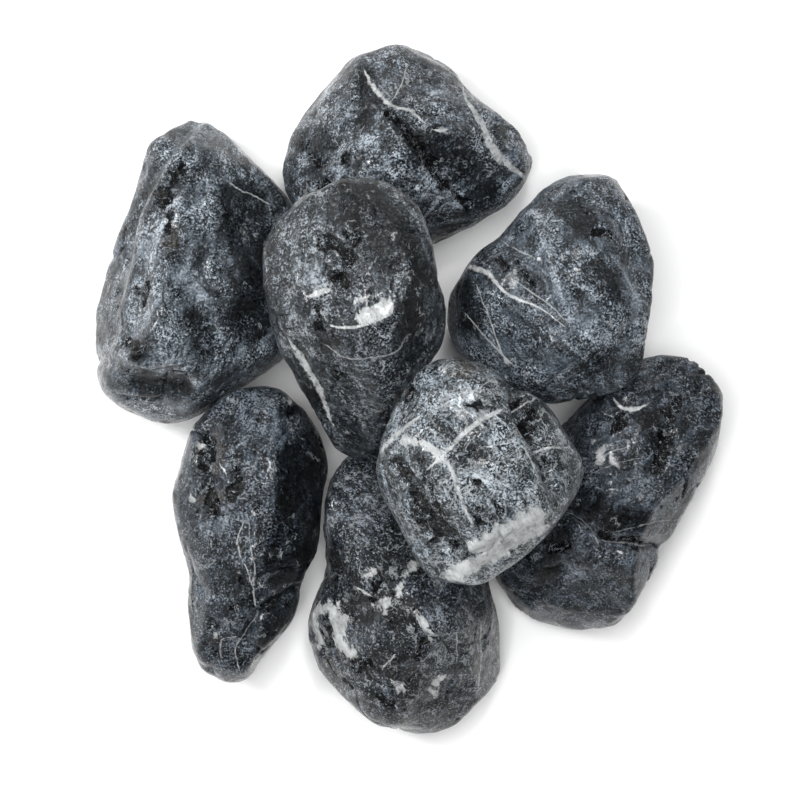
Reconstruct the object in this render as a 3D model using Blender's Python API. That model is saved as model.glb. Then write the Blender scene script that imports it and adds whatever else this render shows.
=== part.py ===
"""A pile of eight tumbled stones, the palm-sized kind that is warmed and laid on the body.

Five stones lie flat on the ground round an open middle: front, front left, left, back and front right.
The right stone stands among them with its flank over the front right stone. The middle stone leans over
the back and left stones, and the top stone sits in the hollow that the others leave.

Each stone is an icosphere whose points are pulled to the distance that the stone's plan outline, its
height and its worn flats give. Only the sizes and the rough places are set by hand: every stone is then
moved home until it meets its neighbours with CLEARANCE left, so the pile closes up again after any size
is changed. Metres, +Z up, the origin at the middle of the pile on the ground.
"""

import math

import bmesh
import bpy
from mathutils import Vector, noise
from mathutils.bvhtree import BVHTree

COLLECTION = "tumbled_stones"
MM = 0.001

# Overall sizes of each stone as it lies: along X, along Y and up, in metres.
FRONT_SIZE = (0.0590, 0.0870, 0.0420)
FRONT_RIGHT_SIZE = (0.0700, 0.0835, 0.0390)
FRONT_LEFT_SIZE = (0.0455, 0.0880, 0.0410)
LEFT_SIZE = (0.0645, 0.0900, 0.0460)
BACK_SIZE = (0.0750, 0.0620, 0.0400)
RIGHT_SIZE = (0.0615, 0.0680, 0.0500)
MIDDLE_SIZE = (0.0520, 0.0810, 0.0570)
TOP_SIZE = (0.0590, 0.0640, 0.0480)

CLEARANCE = 0.0004  # left between two stones that touch
FOOT_DEPTH = 0.0025  # how much of a ground stone's underside is worn flat
FAR = 0.120  # where a stone starts from when it is moved home
MOVE_STEP = 0.002  # the stride of that move, before its last stretch is halved down
HALVINGS = 9

SPHERE_SUBDIVISIONS = 4  # 1280 triangles a stone
FLAT_EDGE = 14.0  # how crisply a worn flat meets the rest: higher is crisper
WAVE_SPACING = 0.030  # distance between the gentle swells of the surface
WAVE_HEIGHT = 0.0009

# A stone's outline is its radius in plan at equal steps round its centre, anticlockwise from +X, in
# millimetres. Its flats are (bearing, rise, distance): the way the flat faces, in degrees round from +X and
# up from level, and its distance from the centre. Its dents are (bearing, rise, turn, length, width, depth):
# where the dent is, the turn of its long way from level, its half length, half width and depth. A negative
# depth is a swelling. Its lean is how much it climbs for each metre along X and along Y, its girth is the
# share of the height at which it is widest, and its fullness is 2 for an egg and more for a boxier stone.
STONES = [
    {
        "name": "front_stone",
        "size": FRONT_SIZE,
        "place": (-1.1, -60.2),
        "way_in": None,
        "outline": [22, 22, 26, 34, 42, 44, 34, 25, 26, 32, 33, 36, 42, 41, 39, 28],
        "flats": [(75, 58, 21), (-60, 48, 28), (-5, 25, 23), (195, 42, 25), (250, 20, 41)],
        "dents": [(150, 25, 60, 16, 7, 1.5), (200, 35, 20, 8, 8, -1.0)],
        "lean": (0.0, 0.03),
        "girth": 0.36,
        "fullness": 2.4,
        "colour": (0.055, 0.064, 0.078),
    },
    {
        "name": "front_right_stone",
        "size": FRONT_RIGHT_SIZE,
        "place": (58.7, -31.3),
        "way_in": -35,
        "outline": [24, 31, 42, 45, 36, 29, 26, 26, 32, 42, 47, 43, 39, 28, 23, 21],
        "flats": [(70, 70, 18), (-20, 30, 21), (235, 52, 25), (150, 40, 20)],
        "dents": [(248, 60, 0, 18, 6, 2.5)],
        "lean": (0.05, 0.08),
        "girth": 0.40,
        "fullness": 2.3,
        "colour": (0.040, 0.047, 0.058),
    },
    {
        "name": "right_stone",
        "size": RIGHT_SIZE,
        "place": (41.6, 29.8),
        "way_in": 105,
        "outline": [28, 30, 33, 37, 32, 27, 24, 27, 32, 35, 33, 32, 32, 34, 34, 30],
        "flats": [(215, 48, 26), (120, 50, 25), (30, 55, 26), (-65, 45, 28), (-65, -45, 24.8), (-20, -40, 24.8)],
        "dents": [(32, 38, -10, 12, 5, 1.8)],
        "lean": (0.05, -0.05),
        "girth": 0.60,
        "fullness": 2.3,
        "colour": (0.066, 0.076, 0.090),
    },
    {
        "name": "front_left_stone",
        "size": FRONT_LEFT_SIZE,
        "place": (-46.2, -42.5),
        "way_in": 205,
        "outline": [20, 23, 32, 39, 41, 36, 30, 25, 22, 22, 26, 42, 46, 30, 21, 20],
        "flats": [(20, 35, 20), (85, 60, 21), (180, 55, 19), (265, 50, 32)],
        "dents": [(-68, 25, 25, 16, 5, 3.5), (170, 35, 75, 10, 6, 1.5)],
        "lean": (0.0, 0.10),
        "girth": 0.60,
        "fullness": 2.3,
        "colour": (0.040, 0.046, 0.056),
    },
    {
        "name": "left_stone",
        "size": LEFT_SIZE,
        "place": (-60.8, 34.8),
        "way_in": 128,
        "outline": [36, 37, 42, 46, 54, 42, 30, 27, 27, 30, 36, 38, 36, 30, 31, 34],
        "flats": [(20, 52, 22), (178, 28, 23), (150, 60, 25), (262, 30, 33), (75, 40, 40)],
        "dents": [(250, 30, 0, 14, 5, 2.5), (40, 70, 60, 12, 5, 1.2)],
        "lean": (-0.08, 0.0),
        "girth": 0.38,
        "fullness": 2.3,
        "colour": (0.070, 0.080, 0.092),
    },
    {
        "name": "back_stone",
        "size": BACK_SIZE,
        "place": (0.1, 72.6),
        "way_in": 80,
        "outline": [38, 30, 26, 29, 32, 32, 30, 32, 36, 37, 34, 31, 28, 28, 30, 35],
        "flats": [(160, 45, 25), (60, 48, 22), (-60, 40, 24), (-10, 58, 24)],
        "dents": [(200, 60, 60, 14, 6, 1.2)],
        "lean": (0.0, 0.10),
        "girth": 0.42,
        "fullness": 2.3,
        "colour": (0.062, 0.072, 0.085),
    },
    {
        "name": "middle_stone",
        "size": MIDDLE_SIZE,
        "place": (-15.7, 18.4),
        "way_in": "down",
        "outline": [25, 25, 29, 35, 36, 36, 34, 28, 24, 23, 24, 30, 42, 28, 25, 25],
        "flats": [(120, 55, 20), (240, 40, 22), (-20, 35, 24), (80, 62, 21)],
        "dents": [(60, 70, 40, 10, 5, 1.0)],
        "lean": (0.0, 0.30),
        "girth": 0.50,
        "fullness": 2.4,
        "colour": (0.058, 0.066, 0.076),
    },
    {
        "name": "top_stone",
        "size": TOP_SIZE,
        "place": (19.4, -23.7),
        "way_in": "down",
        "outline": [29, 28, 27, 26, 30, 33, 33, 32, 27, 25, 26, 31, 31, 26, 25, 26],
        "flats": [(110, 80, 20), (215, 45, 22), (-50, 35, 25), (35, 45, 25), (160, 35, 24), (150, -42, 22)],
        "dents": [(40, 52, 10, 19, 4.5, 2.2)],
        "lean": (0.0, 0.0),
        "girth": 0.60,
        "fullness": 2.4,
        "colour": (0.105, 0.122, 0.135),
    },
]


def clear_scene():
    """Remove what the file holds."""
    for item in list(bpy.data.objects):
        bpy.data.objects.remove(item, do_unlink=True)


def heading(bearing, rise):
    """The unit direction at a bearing round from +X and a rise above level, both in degrees."""
    level = math.cos(math.radians(rise))
    turn = math.radians(bearing)
    return Vector((level * math.cos(turn), level * math.sin(turn), math.sin(math.radians(rise))))


def outline_radius(outline, angle):
    """The plan radius at an angle in radians: a smooth closed curve through the outline's radii."""
    count = len(outline)
    position = angle / (2.0 * math.pi) * count
    start = math.floor(position)
    t = position - start
    before, here, after, beyond = (outline[(start + step) % count] for step in (-1, 0, 1, 2))
    bend = 2.0 * before - 5.0 * here + 4.0 * after - beyond
    twist = 3.0 * here - 3.0 * after + beyond - before
    return here + 0.5 * t * ((after - before) + t * (bend + t * twist))


def body_radius(stone, direction):
    """How far the stone's plain body reaches along a direction, with its worn flats, in millimetres."""
    level = math.hypot(direction.x, direction.y)
    angle = math.atan2(direction.y, direction.x)
    height = stone["size"][2] / MM
    share = 1.0 - stone["girth"] if direction.z > 0.0 else stone["girth"]
    power = stone["fullness"]
    plan = outline_radius(stone["outline"], angle)
    reach = ((level / plan) ** power + (abs(direction.z) / (share * height)) ** power) ** (-1.0 / power)
    total = reach ** -FLAT_EDGE
    for bearing, rise, distance in stone["flats"]:
        facing = direction.dot(heading(bearing, rise))
        total += (max(facing, 0.0) / distance) ** FLAT_EDGE
    return total ** (-1.0 / FLAT_EDGE)


def dent_depth(stone, point):
    """How deep the stone's dents are at a point of its body, in millimetres."""
    depth = 0.0
    for bearing, rise, turn, length, width, deepest in stone["dents"]:
        out = heading(bearing, rise)
        centre = out * body_radius(stone, out)
        level = Vector((-out.y, out.x, 0.0)).normalized()
        up = out.cross(level)
        along = level * math.cos(math.radians(turn)) + up * math.sin(math.radians(turn))
        offset = point - centre
        run = offset.dot(along)
        side = (offset - along * run).length
        depth += deepest * math.exp(-((run / length) ** 2) - (side / width) ** 2)
    return depth


def stone_points(stone, directions):
    """The stone's points in metres, sized to its overall sizes, its lowest point at zero."""
    lean_x, lean_y = stone["lean"]
    seed = Vector((stone["place"][0], stone["place"][1], 0.0)) * MM / WAVE_SPACING
    points = []
    for direction in directions:
        point = direction * body_radius(stone, direction)
        swell = noise.noise(point * MM / WAVE_SPACING + seed) * WAVE_HEIGHT / MM
        point = point - direction * (dent_depth(stone, point) - swell)
        point.z += lean_x * point.x + lean_y * point.y
        points.append(point * MM)
    spans = [(min(p[axis] for p in points), max(p[axis] for p in points)) for axis in range(3)]
    sizes = list(stone["size"])
    if stone["way_in"] != "down":
        sizes[2] += FOOT_DEPTH
    scale = [size / (high - low) for size, (low, high) in zip(sizes, spans)]
    middle = [0.5 * (low + high) for low, high in spans]
    for point in points:
        point.x = (point.x - middle[0]) * scale[0]
        point.y = (point.y - middle[1]) * scale[1]
        point.z = (point.z - spans[2][0]) * scale[2]
    if stone["way_in"] != "down":
        for point in points:
            point.z = max(point.z - FOOT_DEPTH, 0.0)
    return points


def stone_material(stone):
    """The stone's own plain finish."""
    material = bpy.data.materials.new(stone["name"] + "_rock")
    material.use_nodes = True
    surface = material.node_tree.nodes["Principled BSDF"]
    surface.inputs["Base Color"].default_value = (*stone["colour"], 1.0)
    surface.inputs["Roughness"].default_value = 0.35
    surface.inputs["Metallic"].default_value = 0.0
    return material


def make_stone(stone, collection):
    """Build one stone about its own middle, standing on zero."""
    shape = bmesh.new()
    bmesh.ops.create_icosphere(shape, subdivisions=SPHERE_SUBDIVISIONS, radius=1.0)
    directions = [vert.co.normalized() for vert in shape.verts]
    for vert, point in zip(shape.verts, stone_points(stone, directions)):
        vert.co = point
    mesh = bpy.data.meshes.new(stone["name"])
    shape.to_mesh(mesh)
    shape.free()
    mesh.shade_smooth()
    mesh.materials.append(stone_material(stone))
    made = bpy.data.objects.new(stone["name"], mesh)
    collection.objects.link(made)
    return made


class Placed:
    """A stone's points and faces at a trial place, for measuring its distance to the others."""

    def __init__(self, made, place):
        self.points = [vert.co + place for vert in made.data.vertices]
        self.faces = [tuple(face.vertices) for face in made.data.polygons]
        self.tree = BVHTree.FromPolygons(self.points, self.faces)
        self.low = Vector([min(p[axis] for p in self.points) for axis in range(3)])
        self.high = Vector([max(p[axis] for p in self.points) for axis in range(3)])

    def is_near(self, other):
        """Whether the two boxes come within the clearance of each other."""
        return all(
            self.low[axis] - CLEARANCE < other.high[axis] and other.low[axis] - CLEARANCE < self.high[axis]
            for axis in range(3)
        )

    def is_clear_of(self, other):
        """Whether the clearance is left between the two stones everywhere."""
        if not self.is_near(other):
            return True
        if self.tree.overlap(other.tree):
            return False
        pairs = ((self.points, other.tree), (other.points, self.tree))
        return not any(
            tree.find_nearest(point, CLEARANCE)[0] is not None for points, tree in pairs for point in points
        )


def move_home(made, home, way_out, others):
    """The place nearest to home along way_out that keeps clear of the other stones."""

    def fits(distance):
        trial = Placed(made, home + way_out * distance)
        return all(trial.is_clear_of(other) for other in others)

    reached = FAR
    while fits(reached - MOVE_STEP) and reached > -FAR:
        reached -= MOVE_STEP
    blocked = reached - MOVE_STEP
    for _ in range(HALVINGS):
        halfway = 0.5 * (reached + blocked)
        if fits(halfway):
            reached = halfway
        else:
            blocked = halfway
    return home + way_out * reached


def build_pile():
    """Make the stones and lay them, each one against those laid before it."""
    clear_scene()
    collection = bpy.data.collections.new(COLLECTION)
    bpy.context.scene.collection.children.link(collection)
    laid = []
    for stone in STONES:
        made = make_stone(stone, collection)
        place = Vector((stone["place"][0] * MM, stone["place"][1] * MM, 0.0))
        if stone["way_in"] == "down":
            place = move_home(made, place, Vector((0.0, 0.0, 1.0)), [spot for _, spot in laid])
        elif stone["way_in"] is not None:
            place = move_home(made, place, heading(stone["way_in"], 0.0), [spot for _, spot in laid])
        made.location = place
        laid.append((made, Placed(made, place)))
    low = Vector([min(spot.low[axis] for _, spot in laid) for axis in range(3)])
    high = Vector([max(spot.high[axis] for _, spot in laid) for axis in range(3)])
    middle = Vector(((low.x + high.x) * 0.5, (low.y + high.y) * 0.5, 0.0))
    for made, _ in laid:
        made.location -= middle


build_pile()
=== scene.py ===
# %% [markdown]
# # A pile of eight tumbled stones
#
# The object is a handful of dark, veined stones, tumbled smooth and oiled until they look wet. Each stone is
# one solid piece of rock, so it becomes one mesh. The frame, a plain solid for each stone, is loaded first:
# it fixes how large the stones are and how they lie. Everything after that only makes them look like rock.

import itertools
import math

import bmesh
import bpy
import numpy as np
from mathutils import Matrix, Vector
from mathutils.bvhtree import BVHTree


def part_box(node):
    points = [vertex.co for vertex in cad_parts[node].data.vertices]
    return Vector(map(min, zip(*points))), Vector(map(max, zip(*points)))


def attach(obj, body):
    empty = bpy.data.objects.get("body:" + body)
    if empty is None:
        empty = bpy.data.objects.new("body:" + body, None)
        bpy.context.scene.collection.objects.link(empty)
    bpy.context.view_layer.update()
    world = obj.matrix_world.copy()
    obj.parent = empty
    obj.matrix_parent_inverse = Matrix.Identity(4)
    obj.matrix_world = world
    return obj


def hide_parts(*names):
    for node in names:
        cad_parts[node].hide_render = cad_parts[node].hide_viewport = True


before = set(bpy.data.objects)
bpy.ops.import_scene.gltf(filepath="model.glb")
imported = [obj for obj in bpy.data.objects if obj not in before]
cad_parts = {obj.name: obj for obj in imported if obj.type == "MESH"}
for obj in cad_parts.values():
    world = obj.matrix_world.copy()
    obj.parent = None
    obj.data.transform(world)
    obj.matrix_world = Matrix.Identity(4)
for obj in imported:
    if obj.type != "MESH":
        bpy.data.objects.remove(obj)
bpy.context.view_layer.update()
MM = 0.001  # a millimetre, in metres
print("stones in the frame:", ", ".join(sorted(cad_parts)))

# %% [markdown]
# ## Node helpers
#
# Materials and the light are built from nodes, dozens of them for a rock. A few short helpers keep the
# recipes readable: one adds a node and fills its sockets, the others do sums, ramps and noise. All lengths
# inside the rock's nodes are millimetres.

# %% Node helpers
def add_node(tree, kind, inputs=(), **settings):
    """Add a node, set its settings, and fill its inputs with numbers, colours or other nodes' outputs."""
    node = tree.nodes.new(kind)
    for name, value in settings.items():
        setattr(node, name, value)
    for name, value in dict(inputs).items():
        socket = node.inputs[name]
        if isinstance(value, bpy.types.NodeSocket):
            tree.links.new(value, socket)
        else:
            socket.default_value = value
    return node


def sum_of(tree, operation, a, b=0.0, c=0.0, clamp=False):
    """The output of a Math node."""
    node = add_node(tree, "ShaderNodeMath", {0: a, 1: b, 2: c}, operation=operation, use_clamp=clamp)
    return node.outputs[0]


print("one node helper, one sum helper")

# %% [markdown]
# The sums that come up again and again get their own short names. So do the soft ramp, which turns a value
# into a mask, and the noise, which everything rough and uneven starts from.

# %% Sums, ramps and noise
def plus(tree, a, b):
    """a + b."""
    return sum_of(tree, "ADD", a, b)


def times(tree, a, b):
    """a x b."""
    return sum_of(tree, "MULTIPLY", a, b)


def line_of(tree, value, slope, start, clamp=False):
    """value x slope + start."""
    return sum_of(tree, "MULTIPLY_ADD", value, slope, start, clamp)


def larger(tree, a, b):
    """The larger of a and b."""
    return sum_of(tree, "MAXIMUM", a, b)


def centred(tree, noise):
    """A noise moved from around 0.5 to around 0."""
    return sum_of(tree, "SUBTRACT", noise, 0.5)


def ramp_up(tree, value, low, high, top=1.0):
    """0 below low, top above high, and a soft change between. Low may be the higher one, for a ramp down."""
    limits = {"Value": value, "From Min": low, "From Max": high, "To Max": top}
    return add_node(tree, "ShaderNodeMapRange", limits, interpolation_type="SMOOTHSTEP").outputs["Result"]


def noise_at(tree, place, size, detail=2.0, roughness=0.5, distortion=0.0):
    """A noise whose bumps are about size apart, around 0.5."""
    scale = sum_of(tree, "DIVIDE", 1.0, size)
    inputs = {"Vector": place, "Scale": scale, "Detail": detail, "Roughness": roughness}
    inputs["Distortion"] = distortion
    return add_node(tree, "ShaderNodeTexNoise", inputs).outputs["Fac"]


def added(tree, a, b):
    """The sum of two vectors."""
    return add_node(tree, "ShaderNodeVectorMath", {0: a, 1: b}, operation="ADD").outputs[0]


def along(tree, place, way):
    """How far a place is along a way."""
    product = add_node(tree, "ShaderNodeVectorMath", {0: place, 1: way}, operation="DOT_PRODUCT")
    return product.outputs["Value"]


def blend_colour(tree, mask, under, over):
    """The colour over laid on the colour under where the mask is 1."""
    return add_node(tree, "ShaderNodeMix", {0: mask, 6: under, 7: over}, data_type="RGBA").outputs[2]


def blend_number(tree, mask, under, over):
    """The number over in place of under where the mask is 1."""
    return add_node(tree, "ShaderNodeMix", {0: mask, 2: under, 3: over}, data_type="FLOAT").outputs[0]


print("sums, ramps, noise and blends ready")

# %% [markdown]
# ## The camera
#
# Stones like these are looked at from straight above, laid out on white. A camera with a long lens keeps
# their outlines true.

# %% Camera
camera_data = bpy.data.cameras.new("straight_down")
camera_data.lens = 100.0
camera_data.sensor_width = 36.0
camera = bpy.data.objects.new("straight_down", camera_data)
camera.location = (-2.4 * MM, -2.7 * MM, 678.0 * MM)
bpy.context.scene.collection.objects.link(camera)
bpy.context.scene.camera = camera
print("camera", camera.location.z, "m above the table")

# %% [markdown]
# ## The table
#
# The table is a large pale disc, rolled a little uneven by a faint noise, because a perfectly even white
# looks like paper cut out around the stones. The lamps hang close, so the far end of the table would fall
# into shadow. There it glows a little, for the eye only, as a lit paper sweep does.

# %% Table
TABLE_RADIUS = 6.0
TABLE_SIDES = 96
SWEEP_START = 0.45  # how far from the middle the paper sweep starts to glow
SWEEP_FULL = 1.60
SWEEP_GLOW = 0.95
PAPER_DARK = (0.92, 0.92, 0.92, 1.0)
PAPER_PALE = (0.95, 0.95, 0.95, 1.0)

bpy.ops.mesh.primitive_circle_add(vertices=TABLE_SIDES, radius=TABLE_RADIUS, fill_type="NGON")
table = bpy.context.object
table.name = "table"

table_paint = bpy.data.materials.new("table_paint")
table_paint.use_nodes = True
paint = table_paint.node_tree
paper = paint.nodes["Principled BSDF"]
paper.inputs["Roughness"].default_value = 0.9
paper.inputs["Specular IOR Level"].default_value = 0.15
paper.inputs["Emission Color"].default_value = (SWEEP_GLOW, SWEEP_GLOW, SWEEP_GLOW, 1.0)
cloud = add_node(paint, "ShaderNodeTexNoise", {"Scale": 6.0}).outputs["Fac"]
paint.links.new(blend_colour(paint, cloud, PAPER_DARK, PAPER_PALE), paper.inputs["Base Color"])
spot = add_node(paint, "ShaderNodeTexCoord").outputs["Object"]
from_middle = add_node(paint, "ShaderNodeVectorMath", {0: spot}, operation="LENGTH").outputs["Value"]
eye = add_node(paint, "ShaderNodeLightPath").outputs["Is Camera Ray"]
paint.links.new(ramp_up(paint, from_middle, SWEEP_START, SWEEP_FULL, eye), paper.inputs["Emission Strength"])
table.data.materials.append(table_paint)
print("table", 2 * TABLE_RADIUS, "m across")

# %% [markdown]
# ## The light
#
# Oiled dark stone shows mostly what it reflects, so the light is built in two parts. A ceiling lamp
# lights the colour of the rock and the table but is kept out of the reflections, as a polarising sheet over
# the lamp would do. What the stones do reflect is a light tent, bright near the horizon on the left and far
# side and dim overhead and on the right, and three small windows. So the outer slopes shine and the tops stay
# deep. The eye doesn't see the tent itself, but plain paper behind the table.

# %% Light tent
WALL_LIGHT = 1.05
ROOF_LIGHT = 0.04
WALL_TOP, ROOF_EDGE = 0.15, 0.58  # the upward part of a direction where the wall ends and the roof begins
SHADE_SIDE = 0.15  # how bright the right and near side of the tent is, as a share of the other side
WINDOW_SIDE = (-0.80, 0.60, 0.0)  # the way to the bright side
SIDE_EDGE = 0.7
PAPER_LIGHT = 0.98  # the plain paper that the eye sees behind the table in place of the tent

world = bpy.data.worlds.new("light_tent")
bpy.context.scene.world = world
world.use_nodes = True
sky = world.node_tree
tent = sky.nodes["Background"]


def tent_fade(value, low, high, at_low, at_high):
    """A soft change of brightness from at_low to at_high as a value goes from low to high."""
    limits = {"Value": value, "From Min": low, "From Max": high, "To Min": at_low, "To Max": at_high}
    return add_node(sky, "ShaderNodeMapRange", limits, interpolation_type="SMOOTHSTEP").outputs["Result"]


direction = add_node(sky, "ShaderNodeTexCoord").outputs["Generated"]
height = add_node(sky, "ShaderNodeSeparateXYZ", {0: direction}).outputs["Z"]
towards_window = along(sky, direction, WINDOW_SIDE)
bright = times(
    sky,
    tent_fade(height, WALL_TOP, ROOF_EDGE, WALL_LIGHT, ROOF_LIGHT),
    tent_fade(towards_window, -SIDE_EDGE, SIDE_EDGE, SHADE_SIDE, 1.0),
)
eye = add_node(sky, "ShaderNodeLightPath").outputs["Is Camera Ray"]
sky.links.new(blend_number(sky, eye, bright, PAPER_LIGHT), tent.inputs["Strength"])
tent.inputs["Color"].default_value = (1.0, 1.0, 1.0, 1.0)
print("tent wall", WALL_LIGHT, "roof", ROOF_LIGHT)

# %% [markdown]
# Each lamp is a square, because a window is, and it looks at the pile. Small squares give the small bright
# glints on wet edges, the large one overhead gives the soft shadow on the table.

# %% Lamps
def soft_light(name, place, size, power, reflected=True):
    """A square soft light at a place, facing the pile."""
    data = bpy.data.lights.new(name, "AREA")
    data.size = size
    data.energy = power
    lamp = bpy.data.objects.new(name, data)
    lamp.location = place
    lamp.rotation_euler = (-Vector(place)).to_track_quat("-Z", "Y").to_euler()
    lamp.visible_glossy = reflected
    bpy.context.scene.collection.objects.link(lamp)
    return lamp


soft_light("ceiling", (-0.03, 0.06, 0.95), 0.66, 9.4, reflected=False)
soft_light("window_left", (-0.56, 0.24, 0.66), 0.15, 3.2)
soft_light("window_back", (0.06, 0.46, 0.76), 0.12, 1.7)
soft_light("window_near", (-0.26, -0.36, 0.76), 0.10, 1.1)
bpy.context.scene.view_settings.view_transform = "Standard"
bpy.context.scene.view_settings.look = "None"
print("a ceiling lamp and three windows")

# %% [markdown]
# ## A skin for each stone
#
# The frame's stones are made of flat triangles a few millimetres long. A closed ball of fine squares is laid
# over each one instead: every point of the ball looks outward from the stone's middle and stops where it
# meets the solid. A cube cut into squares and puffed up is a better ball than a globe with poles, because
# its squares stay nearly equal. The tangent below evens them out further.

# %% A ball of fine squares
CUTS = 124  # squares along one edge of the cube


def fine_ball():
    """The points of a unit ball, its squares, and the four points round each point."""
    shape = bmesh.new()
    bmesh.ops.create_cube(shape, size=2.0)
    bmesh.ops.subdivide_edges(shape, edges=shape.edges[:], cuts=CUTS - 1, use_grid_fill=True)
    points = np.array([vert.co for vert in shape.verts])
    points = np.tan(points * math.pi / 4.0)
    points /= np.linalg.norm(points, axis=1)[:, None]
    shape.verts.index_update()
    faces = np.array([[vert.index for vert in face.verts] for face in shape.faces])
    edges = np.array([[vert.index for vert in edge.verts] for edge in shape.edges])
    shape.free()
    pairs = np.concatenate([edges, edges[:, ::-1]])
    pairs = pairs[np.argsort(pairs[:, 0], kind="stable")]
    first = np.searchsorted(pairs[:, 0], np.arange(len(points)))
    count = np.diff(np.append(first, len(pairs)))
    around = pairs[:, 1][first[:, None] + np.minimum(np.arange(4), count[:, None] - 1)]
    return points, faces, around


BALL_POINTS, BALL_FACES, AROUND = fine_ball()
print("ball:", len(BALL_POINTS), "points,", len(BALL_FACES), "squares")

# %% [markdown]
# Laying the ball on the solid copies its flat triangles too, so the skin is relaxed: each point moves towards
# the mean of its neighbours, a few dozen times. Each such round is followed by one that moves it away again a
# little further, which keeps the stone from shrinking and its broad edges from going soft.

# %% Lay the ball on a solid and relax it
RELAX_ROUNDS = 45
PULL_IN = 0.60
PUSH_OUT = -0.64


def relaxed(values, rounds):
    """Values at the ball's points, smoothed without shrinking."""
    for pull in (PULL_IN, PUSH_OUT) * rounds:
        mean = sum(values[AROUND[:, side]] for side in range(4)) / 4.0
        values = values + pull * (mean - values)
    return values


def solid_tree(node):
    """A search tree over the faces of one of the frame's solids."""
    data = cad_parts[node].data
    points = [vert.co for vert in data.vertices]
    return BVHTree.FromPolygons(points, [face.vertices for face in data.polygons])


TREES = {node: solid_tree(node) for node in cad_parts}


def laid_skin(node):
    """The ball's points in metres, laid on a solid and relaxed."""
    low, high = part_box(node)
    middle = (low + high) / 2.0
    points = np.empty((len(BALL_POINTS), 3))
    for index, way in enumerate(BALL_POINTS):
        place, _, _, _ = TREES[node].ray_cast(middle, Vector(way))
        points[index] = place
    return relaxed(points, RELAX_ROUNDS)


print(len(TREES), "solids to lay a skin on,", RELAX_ROUNDS, "rounds each")


# %% [markdown]
# ## Random unevenness
#
# Tumbled rock is never quite even. The heights come from value noise: space is cut into cubes, each cube
# corner gets a random number, and the numbers are blended across the cube. It is written with numpy so that
# all the points of a stone are worked out at once.

# %% Value noise
def unevenness(points, spacing, seed):
    """Smooth random heights from -1 to 1 at points, with bumps about one spacing apart."""
    place = points / spacing + seed * 7.31
    cell = np.floor(place).astype(np.int64)
    share = place - cell
    share = share * share * share * (share * (share * 6.0 - 15.0) + 10.0)
    total = np.zeros(len(points))
    for corner in itertools.product((0, 1), repeat=3):
        x, y, z = (cell + corner).T
        mixed = (x * 374761393 + y * 668265263 + z * 1274126177) & 0x7FFFFFFF
        mixed = ((mixed ^ (mixed >> 13)) * 1103515245) & 0x7FFFFFFF
        mixed = (mixed ^ (mixed >> 16)) & 0xFFFF
        weight = np.where(corner, share, 1.0 - share).prod(axis=1)
        total += (mixed / 32767.5 - 1.0) * weight
    return total


def crumbled(points, spacing, seed):
    """Sharp-edged random heights from 0 to 1, like the face of broken rock."""
    coarse = 1.0 - np.abs(unevenness(points, spacing, seed)) * 2.0
    fine = 1.0 - np.abs(unevenness(points, spacing * 0.47, seed + 3)) * 2.0
    return np.clip(0.62 * coarse + 0.38 * fine, 0.0, 1.0)


print("unevenness at one spot:", unevenness(np.ones((1, 3)), 5.0, 1))


# %% [markdown]
# ## Lines and spots on a stone
#
# Every stone has its own scars. They are given as lines and spots in plan, in millimetres from the
# middle of the stone: a groove is a line that sinks, a ridge is a line that rises, a vein is a line of white
# calcite. For each point of the skin we need how far it is from such a line, to which side, and how far
# along it.

# %% Distance to a line
REACH = 12.0  # beyond this many millimetres a line has no effect


def smooth_line(corners, steps=3):
    """A curve through given corners, each a tuple of numbers, with a few points between them."""
    corners = np.array(corners, float)
    if len(corners) < 3:
        return corners
    padded = np.vstack([2 * corners[0] - corners[1], corners, 2 * corners[-1] - corners[-2]])
    line = []
    for before, here, after, beyond in zip(padded, padded[1:], padded[2:], padded[3:]):
        for step in range(steps):
            t = step / steps
            bend = 2 * before - 5 * here + 4 * after - beyond
            twist = 3 * here - 3 * after + beyond - before
            line.append(here + 0.5 * t * (after - before + t * (bend + t * twist)))
    line.append(corners[-1])
    return np.array(line)


def to_line(spots, line):
    """For each spot: distance to a line, signed distance (left is positive), place along it and its values.

    A line's points may hold more than x and y. What they hold beyond that is blended along the line.
    """
    corners = line[:, :2]
    close = np.all((spots > corners.min(axis=0) - REACH) & (spots < corners.max(axis=0) + REACH), axis=1)
    found = to_line_nearby(spots[close], line)
    spread = []
    for values, beyond in zip(found, (2.0 * REACH, 2.0 * REACH, 0.0, 0.0)):
        whole = np.full((len(spots), *values.shape[1:]), beyond)
        whole[close] = values
        spread.append(whole)
    return spread


def to_line_nearby(spots, line):
    """The same four answers, for the spots near the line."""
    near = np.full(len(spots), 1e9)
    side = np.zeros(len(spots))
    run = np.zeros(len(spots))
    extra = np.zeros((len(spots), line.shape[1] - 2))
    walked = 0.0
    if len(line) == 1:
        near = np.linalg.norm(spots - line[0, :2], axis=1)
        return near, near, run, extra + line[0, 2:]
    for start, end in zip(line, line[1:]):
        way = end[:2] - start[:2]
        length = np.linalg.norm(way)
        offset = spots - start[:2]
        share = np.clip(offset @ way / length**2, 0.0, 1.0)
        apart = offset - share[:, None] * way
        distance = np.linalg.norm(apart, axis=1)
        closer = distance < near
        near = np.where(closer, distance, near)
        side = np.where(closer, np.sign(way[0] * offset[:, 1] - way[1] * offset[:, 0]), side)
        run = np.where(closer, walked + share * length, run)
        extra = np.where(closer[:, None], start[2:] + share[:, None] * (end[2:] - start[2:]), extra)
        walked += length
    return near, near * side, run, extra


print("a line reaches", REACH, "mm")


# %% [markdown]
# A patch of another look, such as broken rock or calcite, is given as a line with a reach: everything within
# the reach belongs to it. Stored on the points as "how many millimetres inside the edge", it lets the
# material draw the ragged edge itself, much finer than the mesh.

# %% Patches and veins
FAR_OUTSIDE = -8.0


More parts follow.
